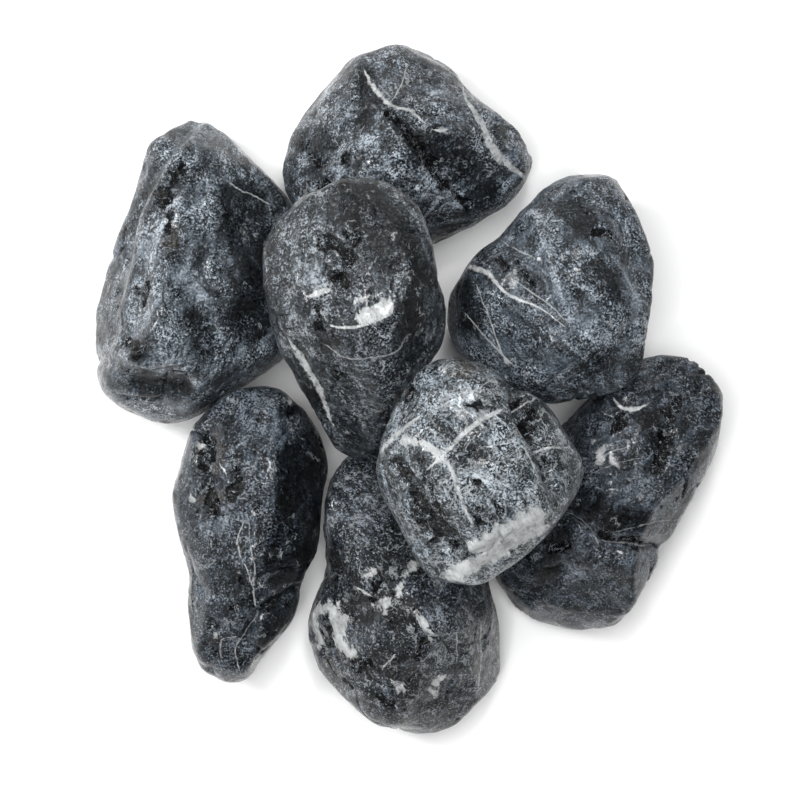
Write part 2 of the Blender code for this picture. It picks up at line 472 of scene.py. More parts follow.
def inside(spots, areas):
    """How many millimetres each spot is inside the nearest of several areas, each (reach, corners)."""
    depth = np.full(len(spots), FAR_OUTSIDE)
    for reach, corners in areas:
        near, _, _, _ = to_line(spots, smooth_line(corners))
        depth = np.maximum(depth, reach - near)
    return depth


def vein_fields(spots, veins):
    """For each spot: how far across the nearest vein, along it and from it, and the vein's half width."""
    best = np.full(len(spots), 1e9)
    line_field = np.zeros((len(spots), 3))
    line_field[:, 2] = -FAR_OUTSIDE
    size_field = np.zeros((len(spots), 3))
    for number, (white, corners) in enumerate(veins):
        near, across, along, width = to_line(spots, smooth_line(corners))
        closer = near - width[:, 0] < best
        best = np.where(closer, near - width[:, 0], best)
        found = np.stack([across, along + 31.0 * number, near], axis=1)
        line_field = np.where(closer[:, None], found, line_field)
        size = np.stack([width[:, 0], 0 * near + white, 0 * near], axis=1)
        size_field = np.where(closer[:, None], size, size_field)
    line_field[:, 0] = np.clip(line_field[:, 0], FAR_OUTSIDE, -FAR_OUTSIDE)
    line_field[:, 2] = np.clip(line_field[:, 2], 0.0, -FAR_OUTSIDE)
    return line_field, size_field


print("a spot far from every patch counts as", FAR_OUTSIDE, "mm inside it")


# %% [markdown]
# ## Room for a stone
#
# A stone's skin may not grow into its neighbours. For each of its points we measure how far the nearest other
# stone is. Only the points within a few millimetres of another stone are measured, because the rest is free.

# %% Room to the neighbours
NEIGHBOUR_RANGE = 4.0  # neighbours further off than this many mm don't matter


def smooth_step(value, low, high):
    """0 below low, 1 above high, and a soft change between."""
    share = np.clip((value - low) / (high - low), 0.0, 1.0)
    return share * share * (3.0 - 2.0 * share)


def room_to_neighbours(node, points):
    """How far each point is from the nearest other stone, in mm, up to the range that matters."""
    margin = NEIGHBOUR_RANGE * MM
    room = np.full(len(points), NEIGHBOUR_RANGE)
    own_low, own_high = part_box(node)
    for other, tree in TREES.items():
        low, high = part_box(other)
        apart = (low[a] > own_high[a] + margin or high[a] < own_low[a] - margin for a in range(3))
        if other == node or any(apart):
            continue
        reach = np.all((points > np.array(low) - margin) & (points < np.array(high) + margin), axis=1)
        for index in np.nonzero(reach)[0]:
            _, _, _, distance = tree.find_nearest(Vector(points[index]), margin)
            if distance is not None:
                room[index] = min(room[index], distance / MM)
    return room


print("neighbours are looked for within", NEIGHBOUR_RANGE, "mm")

# %% [markdown]
# ## Worn facets
#
# A tumbled stone isn't a ball: it was a broken block once, and the drum wore its faces to soft flats. Each
# facet is a plane that cuts the stone back, with a rounded edge. A few big ones are listed for each stone,
# and shallow ones are spread all round like the seeds of a sunflower, so that no side stays round.

# %% Facets
FACET_EDGE = 0.40  # how softly a facet meets the rest, in mm
WORN_FACETS = 18
WORN_DEPTHS = (0.3, 1.3)  # how deep the worn facets cut, in mm
LOWEST_FACET = -0.45  # no facet faces further down than this, so the stones still stand as they did
GOLDEN_TURN = 137.508  # degrees from one facet to the next, which spreads them evenly
STONE_TURN = 40.0  # degrees that each stone's facets are turned from the last one's


def with_facets(local, facets):
    """The points, in mm from the middle, cut back by flat facets: (bearing, rise, depth of the cut)."""
    for bearing, rise, depth in facets:
        turn, lift = math.radians(bearing), math.radians(rise)
        facing = np.array([math.cos(lift) * math.cos(turn), math.cos(lift) * math.sin(turn), math.sin(lift)])
        reach = local @ facing
        over = (reach - reach.max() + depth) / FACET_EDGE
        cut = FACET_EDGE * np.logaddexp(0.0, over)
        local = local - cut[:, None] * facing
    return local


def worn_facets(seed):
    """Shallow facets spread evenly all round a stone, each cut to its own depth."""
    depths = np.random.default_rng(seed).uniform(*WORN_DEPTHS, WORN_FACETS)
    facets = []
    for number, depth in enumerate(depths):
        rise = math.degrees(math.asin(1.0 - (number + 0.5) * (1.0 - LOWEST_FACET) / WORN_FACETS))
        facets.append((number * GOLDEN_TURN + seed * STONE_TURN, rise, depth))
    return facets


print(WORN_FACETS, "worn facets a stone, cut", WORN_DEPTHS, "mm deep")

# %% [markdown]
# ## Broken rock, pits and creases
#
# Where the stone broke late, the surface is sunk and crumbly. Soft grains fell out and left pits, and old
# cracks show as shallow creases. Each is a height that is taken off the skin. The listed broken patches are
# on the upper side. The underside and the flanks get random ones, so that no side is left plain.

# %% Relief
SWELLS = [(17.0, 0.60), (8.0, 0.34), (3.6, 0.17), (1.6, 0.07)]  # spacing and height, in mm
WANDER = [(3.4, 2.0, 5), (1.5, 0.9, 6)]  # spacing, reach and seed of the ragged edges of broken rock
HIDDEN_SPACING = 11.0  # of the random broken patches
HIDDEN_REACH = 9.0
HIDDEN_LEVEL = 5.6  # how rare they are
HIDDEN_ABOVE = 6.0  # how much rarer they are on the upper side
HIDDEN_MOST = 3.0
BROKEN_EDGE = (-0.3, 0.7)
BROKEN_SINK = 0.45
BROKEN_CRUMBLE = 0.9
CRUMB_SPACING = 1.6
PIT_SPACING = 2.0
PIT_EDGE = (0.50, 0.78)
PIT_HERD_SPACING = 9.0
PIT_HERD_EDGE = (-0.2, 0.5)
PIT_DEPTH = 0.5
CREASE_SPACING = 13.0
CREASE_WOBBLE = (3.0, 0.12)  # spacing and share of the fine wobble of a crease
CREASE_HERD_SPACING = 10.0
CREASE_HERD_EDGE = (-0.15, 0.35)
CREASE_WIDTH = 0.045
CREASE_DEPTH = 1.3
UNDERSIDE_CLEAR = 10.0  # what the underside counts as outside the hand-placed patches, in mm


def swells_and_grooves(look, local, upper):
    """The height of the swells, the grooves and the ridges, in mm."""
    height = np.zeros(len(local))
    for spacing, size in SWELLS:
        height += unevenness(local, spacing, look["seed"]) * size
    for depth, width, corners in look.get("grooves", []):
        near, _, _, _ = to_line(local[:, :2], smooth_line(corners))
        height -= depth * upper * np.exp(-((near / width) ** 2))
    return height


def broken_rock(look, local, upper):
    """How many mm each point is inside broken rock."""
    seed = look["seed"]
    wander = sum(unevenness(local, spacing, seed + own) * reach for spacing, reach, own in WANDER)
    broken = inside(local[:, :2], look.get("broken", [])) + wander - UNDERSIDE_CLEAR * (1.0 - upper)
    hidden = unevenness(local, HIDDEN_SPACING, seed + 9) * HIDDEN_REACH - HIDDEN_LEVEL - HIDDEN_ABOVE * upper
    return np.maximum(broken, np.clip(hidden + wander, FAR_OUTSIDE, HIDDEN_MOST))


def crumbling(local, broken, seed):
    """How deep broken rock is, in mm."""
    crumbs = crumbled(local, CRUMB_SPACING, seed + 11)
    return smooth_step(broken, *BROKEN_EDGE) * (BROKEN_SINK + BROKEN_CRUMBLE * crumbs)


def pitting(local, seed):
    """How deep the pits are, in mm."""
    pits = smooth_step(unevenness(local, PIT_SPACING, seed + 21), *PIT_EDGE)
    pits *= smooth_step(unevenness(local, PIT_HERD_SPACING, seed + 22), *PIT_HERD_EDGE)
    return pits * PIT_DEPTH


def creasing(local, seed):
    """How deep the creases are, in mm."""
    spacing, share = CREASE_WOBBLE
    crease = unevenness(local, CREASE_SPACING, seed + 31) + share * unevenness(local, spacing, seed + 32)
    shown = smooth_step(unevenness(local, CREASE_HERD_SPACING, seed + 33), *CREASE_HERD_EDGE)
    return shown * CREASE_DEPTH * np.exp(-np.abs(crease) / CREASE_WIDTH)


print("relief: swells", SWELLS, "mm")

# %% [markdown]
# ## Shaping one stone
#
# The skin moves along its normals by all the heights together. Two things hold it back: it must not reach a
# neighbour, so its outward moves are limited by the room that is left there, and it must stand on the table,
# so no point goes below it. The lines and patches are kept on the mesh's points for the material.

# %% Shape a stone
ROOM_SHARE = 0.42  # how much of the gap to a neighbour a stone's skin may fill
ROOM_KEPT = 0.12  # and what it leaves in any case, in mm
UPPER_EDGE = (-0.25, 0.15)  # how far up a point faces where the upper side begins
SOLE_FADE = (0.2, 3.0)  # heights above the sole between which the relief fades in, in mm
STORED_RANGE = (-12.0, 400.0)


def skin_mesh(name, points):
    """A mesh of the ball's squares at the given points, and its normals."""
    mesh = bpy.data.meshes.new(name)
    mesh.from_pydata(points.tolist(), [], BALL_FACES.tolist())
    mesh.shade_smooth()
    normals = np.empty(len(mesh.vertices) * 3, np.float32)
    mesh.vertex_normals.foreach_get("vector", normals)
    return mesh, normals.reshape(-1, 3).astype(float)


def store(mesh, name, values):
    """Keep three numbers at each point of a mesh, for the material to read."""
    kept = mesh.attributes.new(name, "FLOAT_VECTOR", "POINT")
    kept.data.foreach_set("vector", np.clip(values, *STORED_RANGE).astype(np.float32).ravel())


def store_looks(mesh, look, spots, broken, upper):
    """Keep a stone's veins and patches on its points."""
    far = (UNDERSIDE_CLEAR * (1.0 - upper))[:, None]
    line_field, size_field = vein_fields(spots, look.get("veins", []))
    line_field[:, 2:] += far
    depths = {
        name: inside(spots, look.get(name, [])) for name in ("calcite", "dark", "light", "brown", "streaks")
    }
    patches = np.stack([depths["calcite"], broken, depths["dark"]], axis=1)
    tones = np.stack([depths["light"], depths["brown"], depths["streaks"]], axis=1)
    store(mesh, "vein_line", line_field)
    store(mesh, "vein_size", size_field)
    store(mesh, "patches", patches - far * (1, 0, 1))
    store(mesh, "tones", tones - far)


def shape_stone(look):
    """Make the stone's skin with its relief, and keep its lines and patches on its points."""
    node = look["name"] + "_stone"
    seed = look["seed"]
    low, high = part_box(node)
    middle = np.array((low + high) / 2.0)
    local = with_facets((laid_skin(node) - middle) / MM, worn_facets(seed) + look["facets"])
    points = middle + local * MM
    mesh, normals = skin_mesh(look["name"] + "_rock_skin", points)
    upper = smooth_step(normals[:, 2], *UPPER_EDGE)

    height = swells_and_grooves(look, local, upper)
    broken = broken_rock(look, local, upper)
    height -= crumbling(local, broken, seed)
    height -= pitting(local, seed)
    height -= creasing(local, seed)
    height = np.minimum(height, ROOM_SHARE * room_to_neighbours(node, points) - ROOM_KEPT)
    if low[2] < MM:
        height *= smooth_step(local[:, 2] - local[:, 2].min(), *SOLE_FADE)
    points = points + normals * (height * MM)[:, None]
    points[:, 2] = np.maximum(points[:, 2], 0.0)
    mesh.vertices.foreach_set("co", points.ravel())
    mesh.update()

    store_looks(mesh, look, local[:, :2], broken, upper)
    stone = bpy.data.objects.new(look["name"] + "_rock_skin", mesh)
    bpy.context.scene.collection.objects.link(stone)
    print(stone.name, "relief", round(height.min(), 2), "to", round(height.max(), 2), "mm")
    return stone


print("a skin keeps", ROOM_KEPT, "mm off its neighbours")


# %% [markdown]
# ## Node groups with named sockets
#
# An effect that every stone uses is a node group, built once and placed in each material with that stone's
# own values.

# %% Start a group, use a group
def start_group(name, inputs, outputs):
    """A node group with named number or vector inputs and number outputs."""
    tree = bpy.data.node_groups.new(name, "ShaderNodeTree")
    for socket, value in inputs.items():
        kind = "NodeSocketVector" if value is None else "NodeSocketFloat"
        made = tree.interface.new_socket(socket, in_out="INPUT", socket_type=kind)
        if value is not None:
            made.default_value = value
    for socket in outputs:
        tree.interface.new_socket(socket, in_out="OUTPUT", socket_type="NodeSocketFloat")
    return tree, tree.nodes.new("NodeGroupInput").outputs, tree.nodes.new("NodeGroupOutput").inputs


def use_group(tree, group, **values):
    """Place a node group; a value's name is its input's, with _ for a space."""
    inputs = {name.replace("_", " ").title(): value for name, value in values.items()}
    node = tree.nodes.new("ShaderNodeGroup")
    node.node_tree = group
    for name, value in inputs.items():
        if isinstance(value, bpy.types.NodeSocket):
            tree.links.new(value, node.inputs[name])
        else:
            node.inputs[name].default_value = value
    return node.outputs


print("ready to build node groups")

# %% [markdown]
# ## The grain of the rock
#
# Up close the stone is salt and pepper: pale and dark crystals half a millimetre across, gathered into
# clouds a few millimetres wide. Three sizes of noise make that. The group gives the brightness of the rock,
# a mask of its blackest crystals, a mask of its palest ones, and a tiny relief, because hard crystals stand
# proud of soft ones after tumbling.

# %% Rock grain group
def rock_grain_group():
    """Tone, black and white crystals and relief of the rock."""
    tree, given, out = start_group(
        "rock grain",
        {
            "Place": None,
            "Bedding": None,
            "Grain Size": 0.7,
            "Cloud Size": 5.0,
            "Grain Contrast": 1.0,
            "Cloud Contrast": 1.0,
        },
        ["Tone", "Black Crystals", "White Crystals", "Relief"],
    )
    place = given["Place"]
    grain = noise_at(tree, place, given["Grain Size"], 2.0, 0.70, 0.3)
    cloud = noise_at(tree, given["Bedding"], given["Cloud Size"], 4.0, 0.68, 0.8)
    flake_size = times(tree, given["Grain Size"], 2.4)
    flake = noise_at(tree, place, flake_size, 4.0, 0.74, 1.2)
    zone = ramp_up(tree, noise_at(tree, place, 8.0, 2.0, 0.5), 0.38, 0.62)
    sharpness = times(tree, line_of(tree, zone, 0.9, 0.45), given["Grain Contrast"])
    grain_part = times(tree, centred(tree, grain), sharpness)
    cloud_part = times(tree, centred(tree, cloud), given["Cloud Contrast"])
    flake_part = times(tree, centred(tree, flake), sharpness)
    tone = line_of(tree, grain_part, 3.0, 0.5)
    tone = line_of(tree, flake_part, 2.3, tone)
    tone = line_of(tree, cloud_part, 1.5, tone, clamp=True)
    tree.links.new(tone, out["Tone"])
    black_place = line_of(tree, cloud, -0.50, plus(tree, flake, 0.25))
    tree.links.new(ramp_up(tree, black_place, 0.555, 0.615), out["Black Crystals"])
    white_place = line_of(tree, flake, -0.30, plus(tree, grain, 0.15))
    tree.links.new(ramp_up(tree, white_place, 0.60, 0.68), out["White Crystals"])
    relief = line_of(tree, grain, 0.5, times(tree, flake, 0.9))
    tree.links.new(relief, out["Relief"])
    return tree


ROCK_GRAIN = rock_grain_group()
print(ROCK_GRAIN.name, "group:", len(ROCK_GRAIN.nodes), "nodes")

# %% [markdown]
# ## Marbling
#
# Crushed and healed rock is full of thin wandering seams, some black and some white, and of blotches between
# them. A seam lies where a noise passes through its middle value: there is always a line there, and it
# wanders like a shore. A second, coarser noise decides where such seams show at all.

# %% Marbling group
def seams(tree, place, size, half_width, limit):
    """A mask of thin wandering seams, shown where a coarse noise is above a limit."""
    shore = noise_at(tree, place, size, 5.0, 0.62, 0.5)
    off = sum_of(tree, "ABSOLUTE", centred(tree, shore))
    line = ramp_up(tree, off, half_width, half_width * 0.3)
    patchy = noise_at(tree, place, 5.5, 3.0, 0.6)
    return times(tree, line, ramp_up(tree, patchy, limit, plus(tree, limit, 0.06)))


def marbling_group():
    """Black seams, white seams and pale blotches."""
    tree, given, out = start_group(
        "marbling",
        {"Place": None, "Bedding": None, "Black Seams": 0.5, "White Seams": 0.5, "Blotches": 0.5},
        ["Black", "White", "Blotch"],
    )
    black_limit = line_of(tree, given["Black Seams"], -0.22, 0.62)
    tree.links.new(seams(tree, given["Bedding"], 3.4, 0.075, black_limit), out["Black"])
    other = added(tree, given["Place"], (37.0, 91.0, 13.0))
    white_limit = line_of(tree, given["White Seams"], -0.22, 0.62)
    tree.links.new(seams(tree, other, 5.0, 0.026, white_limit), out["White"])
    blot = noise_at(tree, given["Bedding"], 1.9, 4.0, 0.70, 0.6)
    herd = noise_at(tree, given["Place"], 9.0, 2.0, 0.5)
    blot = line_of(tree, herd, 0.7, blot)
    low = line_of(tree, given["Blotches"], -0.22, 1.10)
    tree.links.new(ramp_up(tree, blot, low, plus(tree, low, 0.06)), out["Blotch"])
    return tree


MARBLING = marbling_group()
print(MARBLING.name, "group:", len(MARBLING.nodes), "nodes")

# %% [markdown]
# ## Ragged patches
#
# The skin knows how far each point is inside a patch. Adding noise before cutting at zero gives the edge its
# ragged coast, with little islands in front of it.

# %% Ragged patch group
def ragged_patch_group():
    """A patch with a ragged coast, from the depth inside it."""
    tree, given, out = start_group(
        "ragged patch",
        {"Place": None, "Depth Inside": FAR_OUTSIDE, "Raggedness": 1.5, "Grain": 1.6, "Softness": 0.25},
        ["Mask"],
    )
    coast = noise_at(tree, given["Place"], given["Grain"], 4.0, 0.66, 0.5)
    moved = times(tree, centred(tree, coast), given["Raggedness"])
    moved = line_of(tree, moved, 5.0, given["Depth Inside"])
    outer = times(tree, given["Softness"], -1.0)
    tree.links.new(ramp_up(tree, moved, outer, given["Softness"]), out["Mask"])
    return tree


RAGGED_PATCH = ragged_patch_group()
print(RAGGED_PATCH.name, "group:", len(RAGGED_PATCH.nodes), "nodes")

# %% [markdown]
# ## Calcite veins
#
# A vein is a crack that later filled with white calcite. The skin stores the signed distance across the
# nearest vein, and the material draws the line where that distance is less than half the vein's width. Being
# signed, it stays exact between the mesh's points, so a vein can be thinner than a square of the mesh.

# %% Vein group
def vein_group():
    """A white vein along the line that the skin stores."""
    tree, given, out = start_group(
        "calcite vein", {"Place": None, "Line": None, "Size": None, "Wander": 0.5, "Breaks": 0.5}, ["Mask"]
    )
    line = add_node(tree, "ShaderNodeSeparateXYZ", {0: given["Line"]}).outputs
    size = add_node(tree, "ShaderNodeSeparateXYZ", {0: given["Size"]}).outputs
    drift = noise_at(tree, given["Place"], 3.2, 4.0, 0.62)
    across = times(tree, centred(tree, drift), given["Wander"])
    across = sum_of(tree, "ABSOLUTE", line_of(tree, across, 4.0, line["X"]))
    swell = noise_at(tree, given["Place"], 1.5, 3.0, 0.7)
    width = times(tree, size["X"], line_of(tree, swell, 2.4, -0.2))
    soft = line_of(tree, width, 0.35, 0.05)
    inner = sum_of(tree, "SUBTRACT", width, soft)
    mask = ramp_up(tree, across, plus(tree, width, soft), inner)
    gaps = noise_at(tree, given["Place"], 2.2, 2.0, 0.6)
    shown = ramp_up(tree, line_of(tree, given["Breaks"], -0.45, gaps), 0.10, 0.24)
    near = ramp_up(tree, line["Z"], line_of(tree, size["X"], 2.0, 1.4), 0.9)
    mask = times(tree, mask, times(tree, shown, near))
    tree.links.new(times(tree, mask, size["Y"]), out["Mask"])
    return tree


VEIN = vein_group()
print(VEIN.name, "group:", len(VEIN.nodes), "nodes")

# %% [markdown]
# Healed cracks are veins too fine to place one by one. Each family of them is a stack of thin white sheets
# that cuts through the rock one way, so on the surface they run almost straight. The position across the
# stack, bent a little by noise, repeats every few millimetres; close to a whole number there is a line, and
# a second noise shows only short lengths of it. Three families at different slants make a web.

# %% Healed crack group
def healed_crack_group():
    """Three families of nearly straight hairlines."""
    tree, given, out = start_group(
        "healed cracks", {"Place": None, "Spacing": 6.0, "Thickness": 0.10, "Cover": 0.5}, ["Mask"]
    )
    total = None
    for slant in ((0.80, 0.55, 0.25), (-0.45, 0.85, 0.30), (0.95, -0.20, -0.25)):
        across = along(tree, given["Place"], slant)
        bend = noise_at(tree, given["Place"], 5.0 + 2.0 * slant[0], 3.0, 0.6)
        across = line_of(tree, bend, 5.0, across)
        turn = sum_of(tree, "PINGPONG", across, given["Spacing"])
        line = ramp_up(tree, turn, given["Thickness"], times(tree, given["Thickness"], 0.25))
        patchy = noise_at(tree, given["Place"], 3.4 - slant[2], 3.0, 0.65)
        limit = line_of(tree, given["Cover"], -0.34, 0.76)
        shown = ramp_up(tree, patchy, limit, plus(tree, limit, 0.09))
        mask = times(tree, line, shown)
        total = mask if total is None else larger(tree, total, mask)
    tree.links.new(total, out["Mask"])
    return tree


HEALED_CRACKS = healed_crack_group()
print(HEALED_CRACKS.name, "group:", len(HEALED_CRACKS.nodes), "nodes")

# %% [markdown]
# ## Colours by steps
#
# The rock's colours are steps along a value: black rock, blue-grey rock and pale crystals along the grain's
# tone, painted glints along the rims of broken rock's crumbs, and dull to bright white along a calcite
# crystal. A colour ramp holds such steps.

# %% Colour steps
# How light the rock is along the grain's tone, as a share of its own level, and how much of its tint shows.
BODY_BANDS = [
    (0.0, 0.04, 1.0),
    (0.25, 0.19, 1.0),
    (0.42, 0.66, 1.0),
    (0.58, 1.25, 1.0),
    (0.78, 2.8, 0.75),
    (1.0, 5.4, 0.5),
]
# Painted glints: white along the rims of broken rock's crumbs, black between them.
PAINTED_GLINT_BANDS = [(0.0, 0.45), (0.014, 0.16), (0.034, 0.010), (0.12, 0.0025)]
CALCITE_BANDS = [(0.28, 0.12), (0.42, 0.33), (0.60, 0.50)]
PAINTED_GLINT_TINT = (0.88, 1.0, 1.12)
CALCITE_TINT = (0.97, 1.0, 1.01)


def tinted(grey, tint):
    """A grey level with a tint, as a colour."""
    return (*(grey * part for part in tint), 1.0)


def steps_along(tree, value, stops):
    """The colour at a value, from stops that are each a position and a colour."""
    node = add_node(tree, "ShaderNodeValToRGB", {0: value})
    elements = node.color_ramp.elements
    while len(elements) < len(stops):
        elements.new(0.5)
    for element, (position, colour) in zip(elements, stops):
        element.position = position
        element.color = colour
    return node.outputs["Color"]


BLOTCH_COLOUR = tinted(0.20, (0.93, 1.0, 1.05))
BLACK_COLOUR = tinted(0.0055, (0.9, 1.0, 1.15))
CRYSTAL_COLOUR = tinted(0.28, (0.93, 1.0, 1.06))
THREAD_COLOUR = tinted(0.34, (0.94, 1.0, 1.04))
CRACK_COLOUR = tinted(0.36, (0.94, 1.0, 1.04))
BROWN_COLOUR = (0.055, 0.044, 0.032, 1.0)
print(len(BODY_BANDS), "steps in the body of the rock")

# %% [markdown]
# ## The finish of one stone
#
# All eight stones share one recipe with their own values: how light the rock is, how contrasty its grain,
# how many hairlines it has. First come the masks, which say where each thing is: they mix what the skin
# stored with the node groups. The bedding is the same place stretched one way, because the rock's clouds and
# seams lie along the layers it formed in.

# %% Masks of one stone
SEED_SHIFT = (53.0, 29.0, 11.0)  # moves each stone to its own part of the noise, in mm for each seed
BEDDING_TILT = (0.3, 0.2)
BEDDING_STRETCH = (1.7, 1.0, 1.0)
SEAM_BLACK = 0.80  # how far a black seam hides the grain under it
# Each patch: where it is stored, and its raggedness, grain and softness.
PATCH_EDGES = {
    "light": ("tones", "X", 1.6, 2.4, 2.2),
    "brown": ("tones", "Y", 1.8, 1.2, 1.0),
    "streak": ("tones", "Z", 1.2, 2.5, 0.7),
    "calcite": ("patches", "X", 1.5, 2.6, 0.45),
    "broken": ("patches", "Y", 0.8, 0.9, 0.35),
    "dark": ("patches", "Z", 1.6, 2.6, 2.0),
}


def rock_places(tree, look):
    """Where a point is in the rock, in mm, and the same place stretched along the bedding."""
    coordinates = add_node(tree, "ShaderNodeTexCoord").outputs["Object"]
    moved = {0: coordinates, 1: (1 / MM,) * 3, 2: tuple(look["seed"] * part for part in SEED_SHIFT)}
    place = add_node(tree, "ShaderNodeVectorMath", moved, operation="MULTIPLY_ADD").outputs[0]
    turn = (*BEDDING_TILT, math.radians(look["bedding"]))
    laid = {"Vector": place, "Rotation": turn, "Scale": BEDDING_STRETCH}
    return place, add_node(tree, "ShaderNodeMapping", laid, vector_type="TEXTURE").outputs[0]


def rock_masks(tree, look, place, bedding):
    """The masks of a stone's patches, veins, healed cracks, grain and marbling, by name."""
    stored = {
        name: add_node(tree, "ShaderNodeAttribute", attribute_name=name).outputs["Vector"]
        for name in ("vein_line", "vein_size", "patches", "tones")
    }
    parts = {
        name: add_node(tree, "ShaderNodeSeparateXYZ", {0: stored[name]}).outputs
        for name in ("patches", "tones")
    }
    masks = {}
    for name, (kept, axis, raggedness, grain, softness) in PATCH_EDGES.items():
        masks[name] = use_group(
            tree, RAGGED_PATCH, place=bedding, depth_inside=parts[kept][axis],
            raggedness=raggedness, grain=grain, softness=softness,
        )["Mask"]
    masks["vein"] = use_group(
        tree, VEIN, place=place, line=stored["vein_line"], size=stored["vein_size"],
        wander=look["wander"], breaks=look["breaks"],
    )["Mask"]
    masks["cracks"] = use_group(
        tree, HEALED_CRACKS, place=place,
        spacing=look["web_spacing"], thickness=look["web_width"], cover=look["web"],
    )["Mask"]
    masks["grain"] = use_group(
        tree, ROCK_GRAIN, place=place, bedding=bedding, grain_size=look["grain"], cloud_size=look["cloud"],
        grain_contrast=look["grain_contrast"], cloud_contrast=look["cloud_contrast"],
    )
    masks["marble"] = use_group(
        tree, MARBLING, place=place, bedding=bedding,
        black_seams=look["black_seams"], white_seams=look["white_seams"], blotches=look["blotches"],
    )
    masks["whitened"] = larger(tree, masks["calcite"], masks["vein"])
    black = times(tree, masks["grain"]["Black Crystals"], look["black"])
    masks["black"] = larger(tree, black, times(tree, masks["marble"]["Black"], SEAM_BLACK))
    return masks


print("patches:", ", ".join(PATCH_EDGES))

# %% [markdown]
# The colour is laid on in layers, as the rock grew: the grained body first, lightened and darkened by
# patches that also carry painted highlights and painted shade, then blotches, black and white crystals and
# threads, a brown stain, the crumbs of broken rock with painted glints on their rims, and last the calcite,
# which filled what was open.

# %% Colour of one stone
# A pale-and-highlight patch lifts the tone: paler rock, and painted highlights and reflections on ridges,
# lips and flanks. A dark-and-shade patch lowers it: darker rock, and painted shade in hollows, clefts and on
# sides that face away from the light or into the pile.
PALE_AND_HIGHLIGHT_LIFT, DARK_AND_SHADE_DROP, STREAK = 0.24, -0.36, -0.25  # how far a patch moves the grain's tone
STAIN = 0.40
BROKEN_COVER = 0.97


def body_colour(tree, look, masks):
    """The grained body of the rock, lighter by paler rock and painted highlights, darker by darker rock and
    painted shade.
    """
    tone = line_of(tree, masks["light"], PALE_AND_HIGHLIGHT_LIFT, masks["grain"]["Tone"])
    tone = line_of(tree, masks["dark"], DARK_AND_SHADE_DROP, tone)
    tone = line_of(tree, masks["streak"], STREAK, tone, clamp=True)
    stops = []
    for position, share, kept in BODY_BANDS:
        tint = [1.0 + (part - 1.0) * kept for part in look["tint"]]
        stops.append((position, tinted(look["body"] * share, tint)))
    return steps_along(tree, tone, stops)


def crumbs_with_painted_glints(tree, place, crumbs):
    """Broken rock: black, with painted glints along the rims of its crumbs."""
    rims = sum_of(tree, "ABSOLUTE", centred(tree, crumbs))
    sparse = ramp_up(tree, noise_at(tree, place, 2.6, 2.0, 0.6), 0.56, 0.46)
    rims = line_of(tree, sparse, 0.10, rims)
    return steps_along(tree, rims, [(at, tinted(grey, PAINTED_GLINT_TINT)) for at, grey in PAINTED_GLINT_BANDS])


def rock_colour(tree, look, masks, place, bedding, crumbs):
    """All the layers of a stone's colour."""
    grain, marble = masks["grain"], masks["marble"]
    pale = line_of(tree, masks["dark"], -look["hush"], 1.0)
    white = times(tree, times(tree, grain["White Crystals"], look["white"]), pale)
    blotch = times(tree, times(tree, marble["Blotch"], look["blotch_white"]), pale)
    crystal = noise_at(tree, bedding, 2.2, 5.0, 0.68, 0.5)
    calcite = steps_along(tree, crystal, [(at, tinted(grey, CALCITE_TINT)) for at, grey in CALCITE_BANDS])
    layers = [
        (blotch, BLOTCH_COLOUR),
        (masks["black"], BLACK_COLOUR),
        (white, CRYSTAL_COLOUR),
        (times(tree, marble["White"], look["web_white"]), THREAD_COLOUR),
        (times(tree, masks["brown"], STAIN), BROWN_COLOUR),
        (times(tree, masks["broken"], BROKEN_COVER), crumbs_with_painted_glints(tree, place, crumbs)),
        (times(tree, masks["cracks"], look["web_white"]), CRACK_COLOUR),
        (masks["whitened"], calcite),
    ]
    colour = body_colour(tree, look, masks)
    for mask, over in layers:
        colour = blend_colour(tree, mask, colour, over)
    return colour


print("colour layers ready")

# %% [markdown]
# The shader is a Principled BSDF with a low, uneven roughness and a thin coat for the oil. The coat is thin
# on black rock, which drinks the oil, and on the patches of dark rock and painted shade. Broken places are
# glossier, calcite is a little duller. The finest relief is a bump: hard crystals stand proud, black seams
# sink, and crumbs are rough.

# %% Finish of one stone
GLOSS_SWING = 0.60
GLOSS_START = -0.30  # brings the mean of the swing back to the look's own dullness
BROKEN_GLOSS = 0.16
CALCITE_GLOSS = 0.48
OIL_DRUNK = -0.8  # how much of the oil black rock and the patches of dark rock and painted shade take away, as a share
CRUMB_BITE = 0.9
BLACK_BITE = -0.16
CALCITE_BITE = 0.03


def stone_finish(look):
    """The material of one stone."""
    material = bpy.data.materials.new(look["name"] + "_rock_finish")
    material.use_nodes = True
    tree = material.node_tree
    surface = tree.nodes["Principled BSDF"]
    place, bedding = rock_places(tree, look)
    masks = rock_masks(tree, look, place, bedding)
    crumbs = noise_at(tree, place, 1.5, 3.0, 0.66, 1.2)
    colour = rock_colour(tree, look, masks, place, bedding, crumbs)

    roughness = line_of(tree, noise_at(tree, place, 2.8, 3.0, 0.6), GLOSS_SWING, look["dull"] + GLOSS_START)
    roughness = blend_number(tree, masks["broken"], roughness, BROKEN_GLOSS)
    roughness = blend_number(tree, masks["whitened"], roughness, CALCITE_GLOSS)
    matt = larger(tree, masks["black"], masks["dark"])
    oil = line_of(tree, matt, OIL_DRUNK * look["oil"], look["oil"])

    relief = times(tree, masks["grain"]["Relief"], look["bite"])
    relief = blend_number(tree, masks["broken"], relief, times(tree, crumbs, CRUMB_BITE))
    relief = line_of(tree, masks["black"], BLACK_BITE, relief)
    relief = line_of(tree, masks["whitened"], CALCITE_BITE, relief)
    bump = add_node(tree, "ShaderNodeBump", {"Height": relief, "Strength": 1.0, "Distance": MM})

    tree.links.new(colour, surface.inputs["Base Color"])
    tree.links.new(roughness, surface.inputs["Roughness"])
    tree.links.new(oil, surface.inputs["Coat Weight"])
    tree.links.new(bump.outputs["Normal"], surface.inputs["Normal"])
    surface.inputs["Specular IOR Level"].default_value = 0.30
    surface.inputs["Coat Roughness"].default_value = 0.14
    return material


print("stone finish ready")
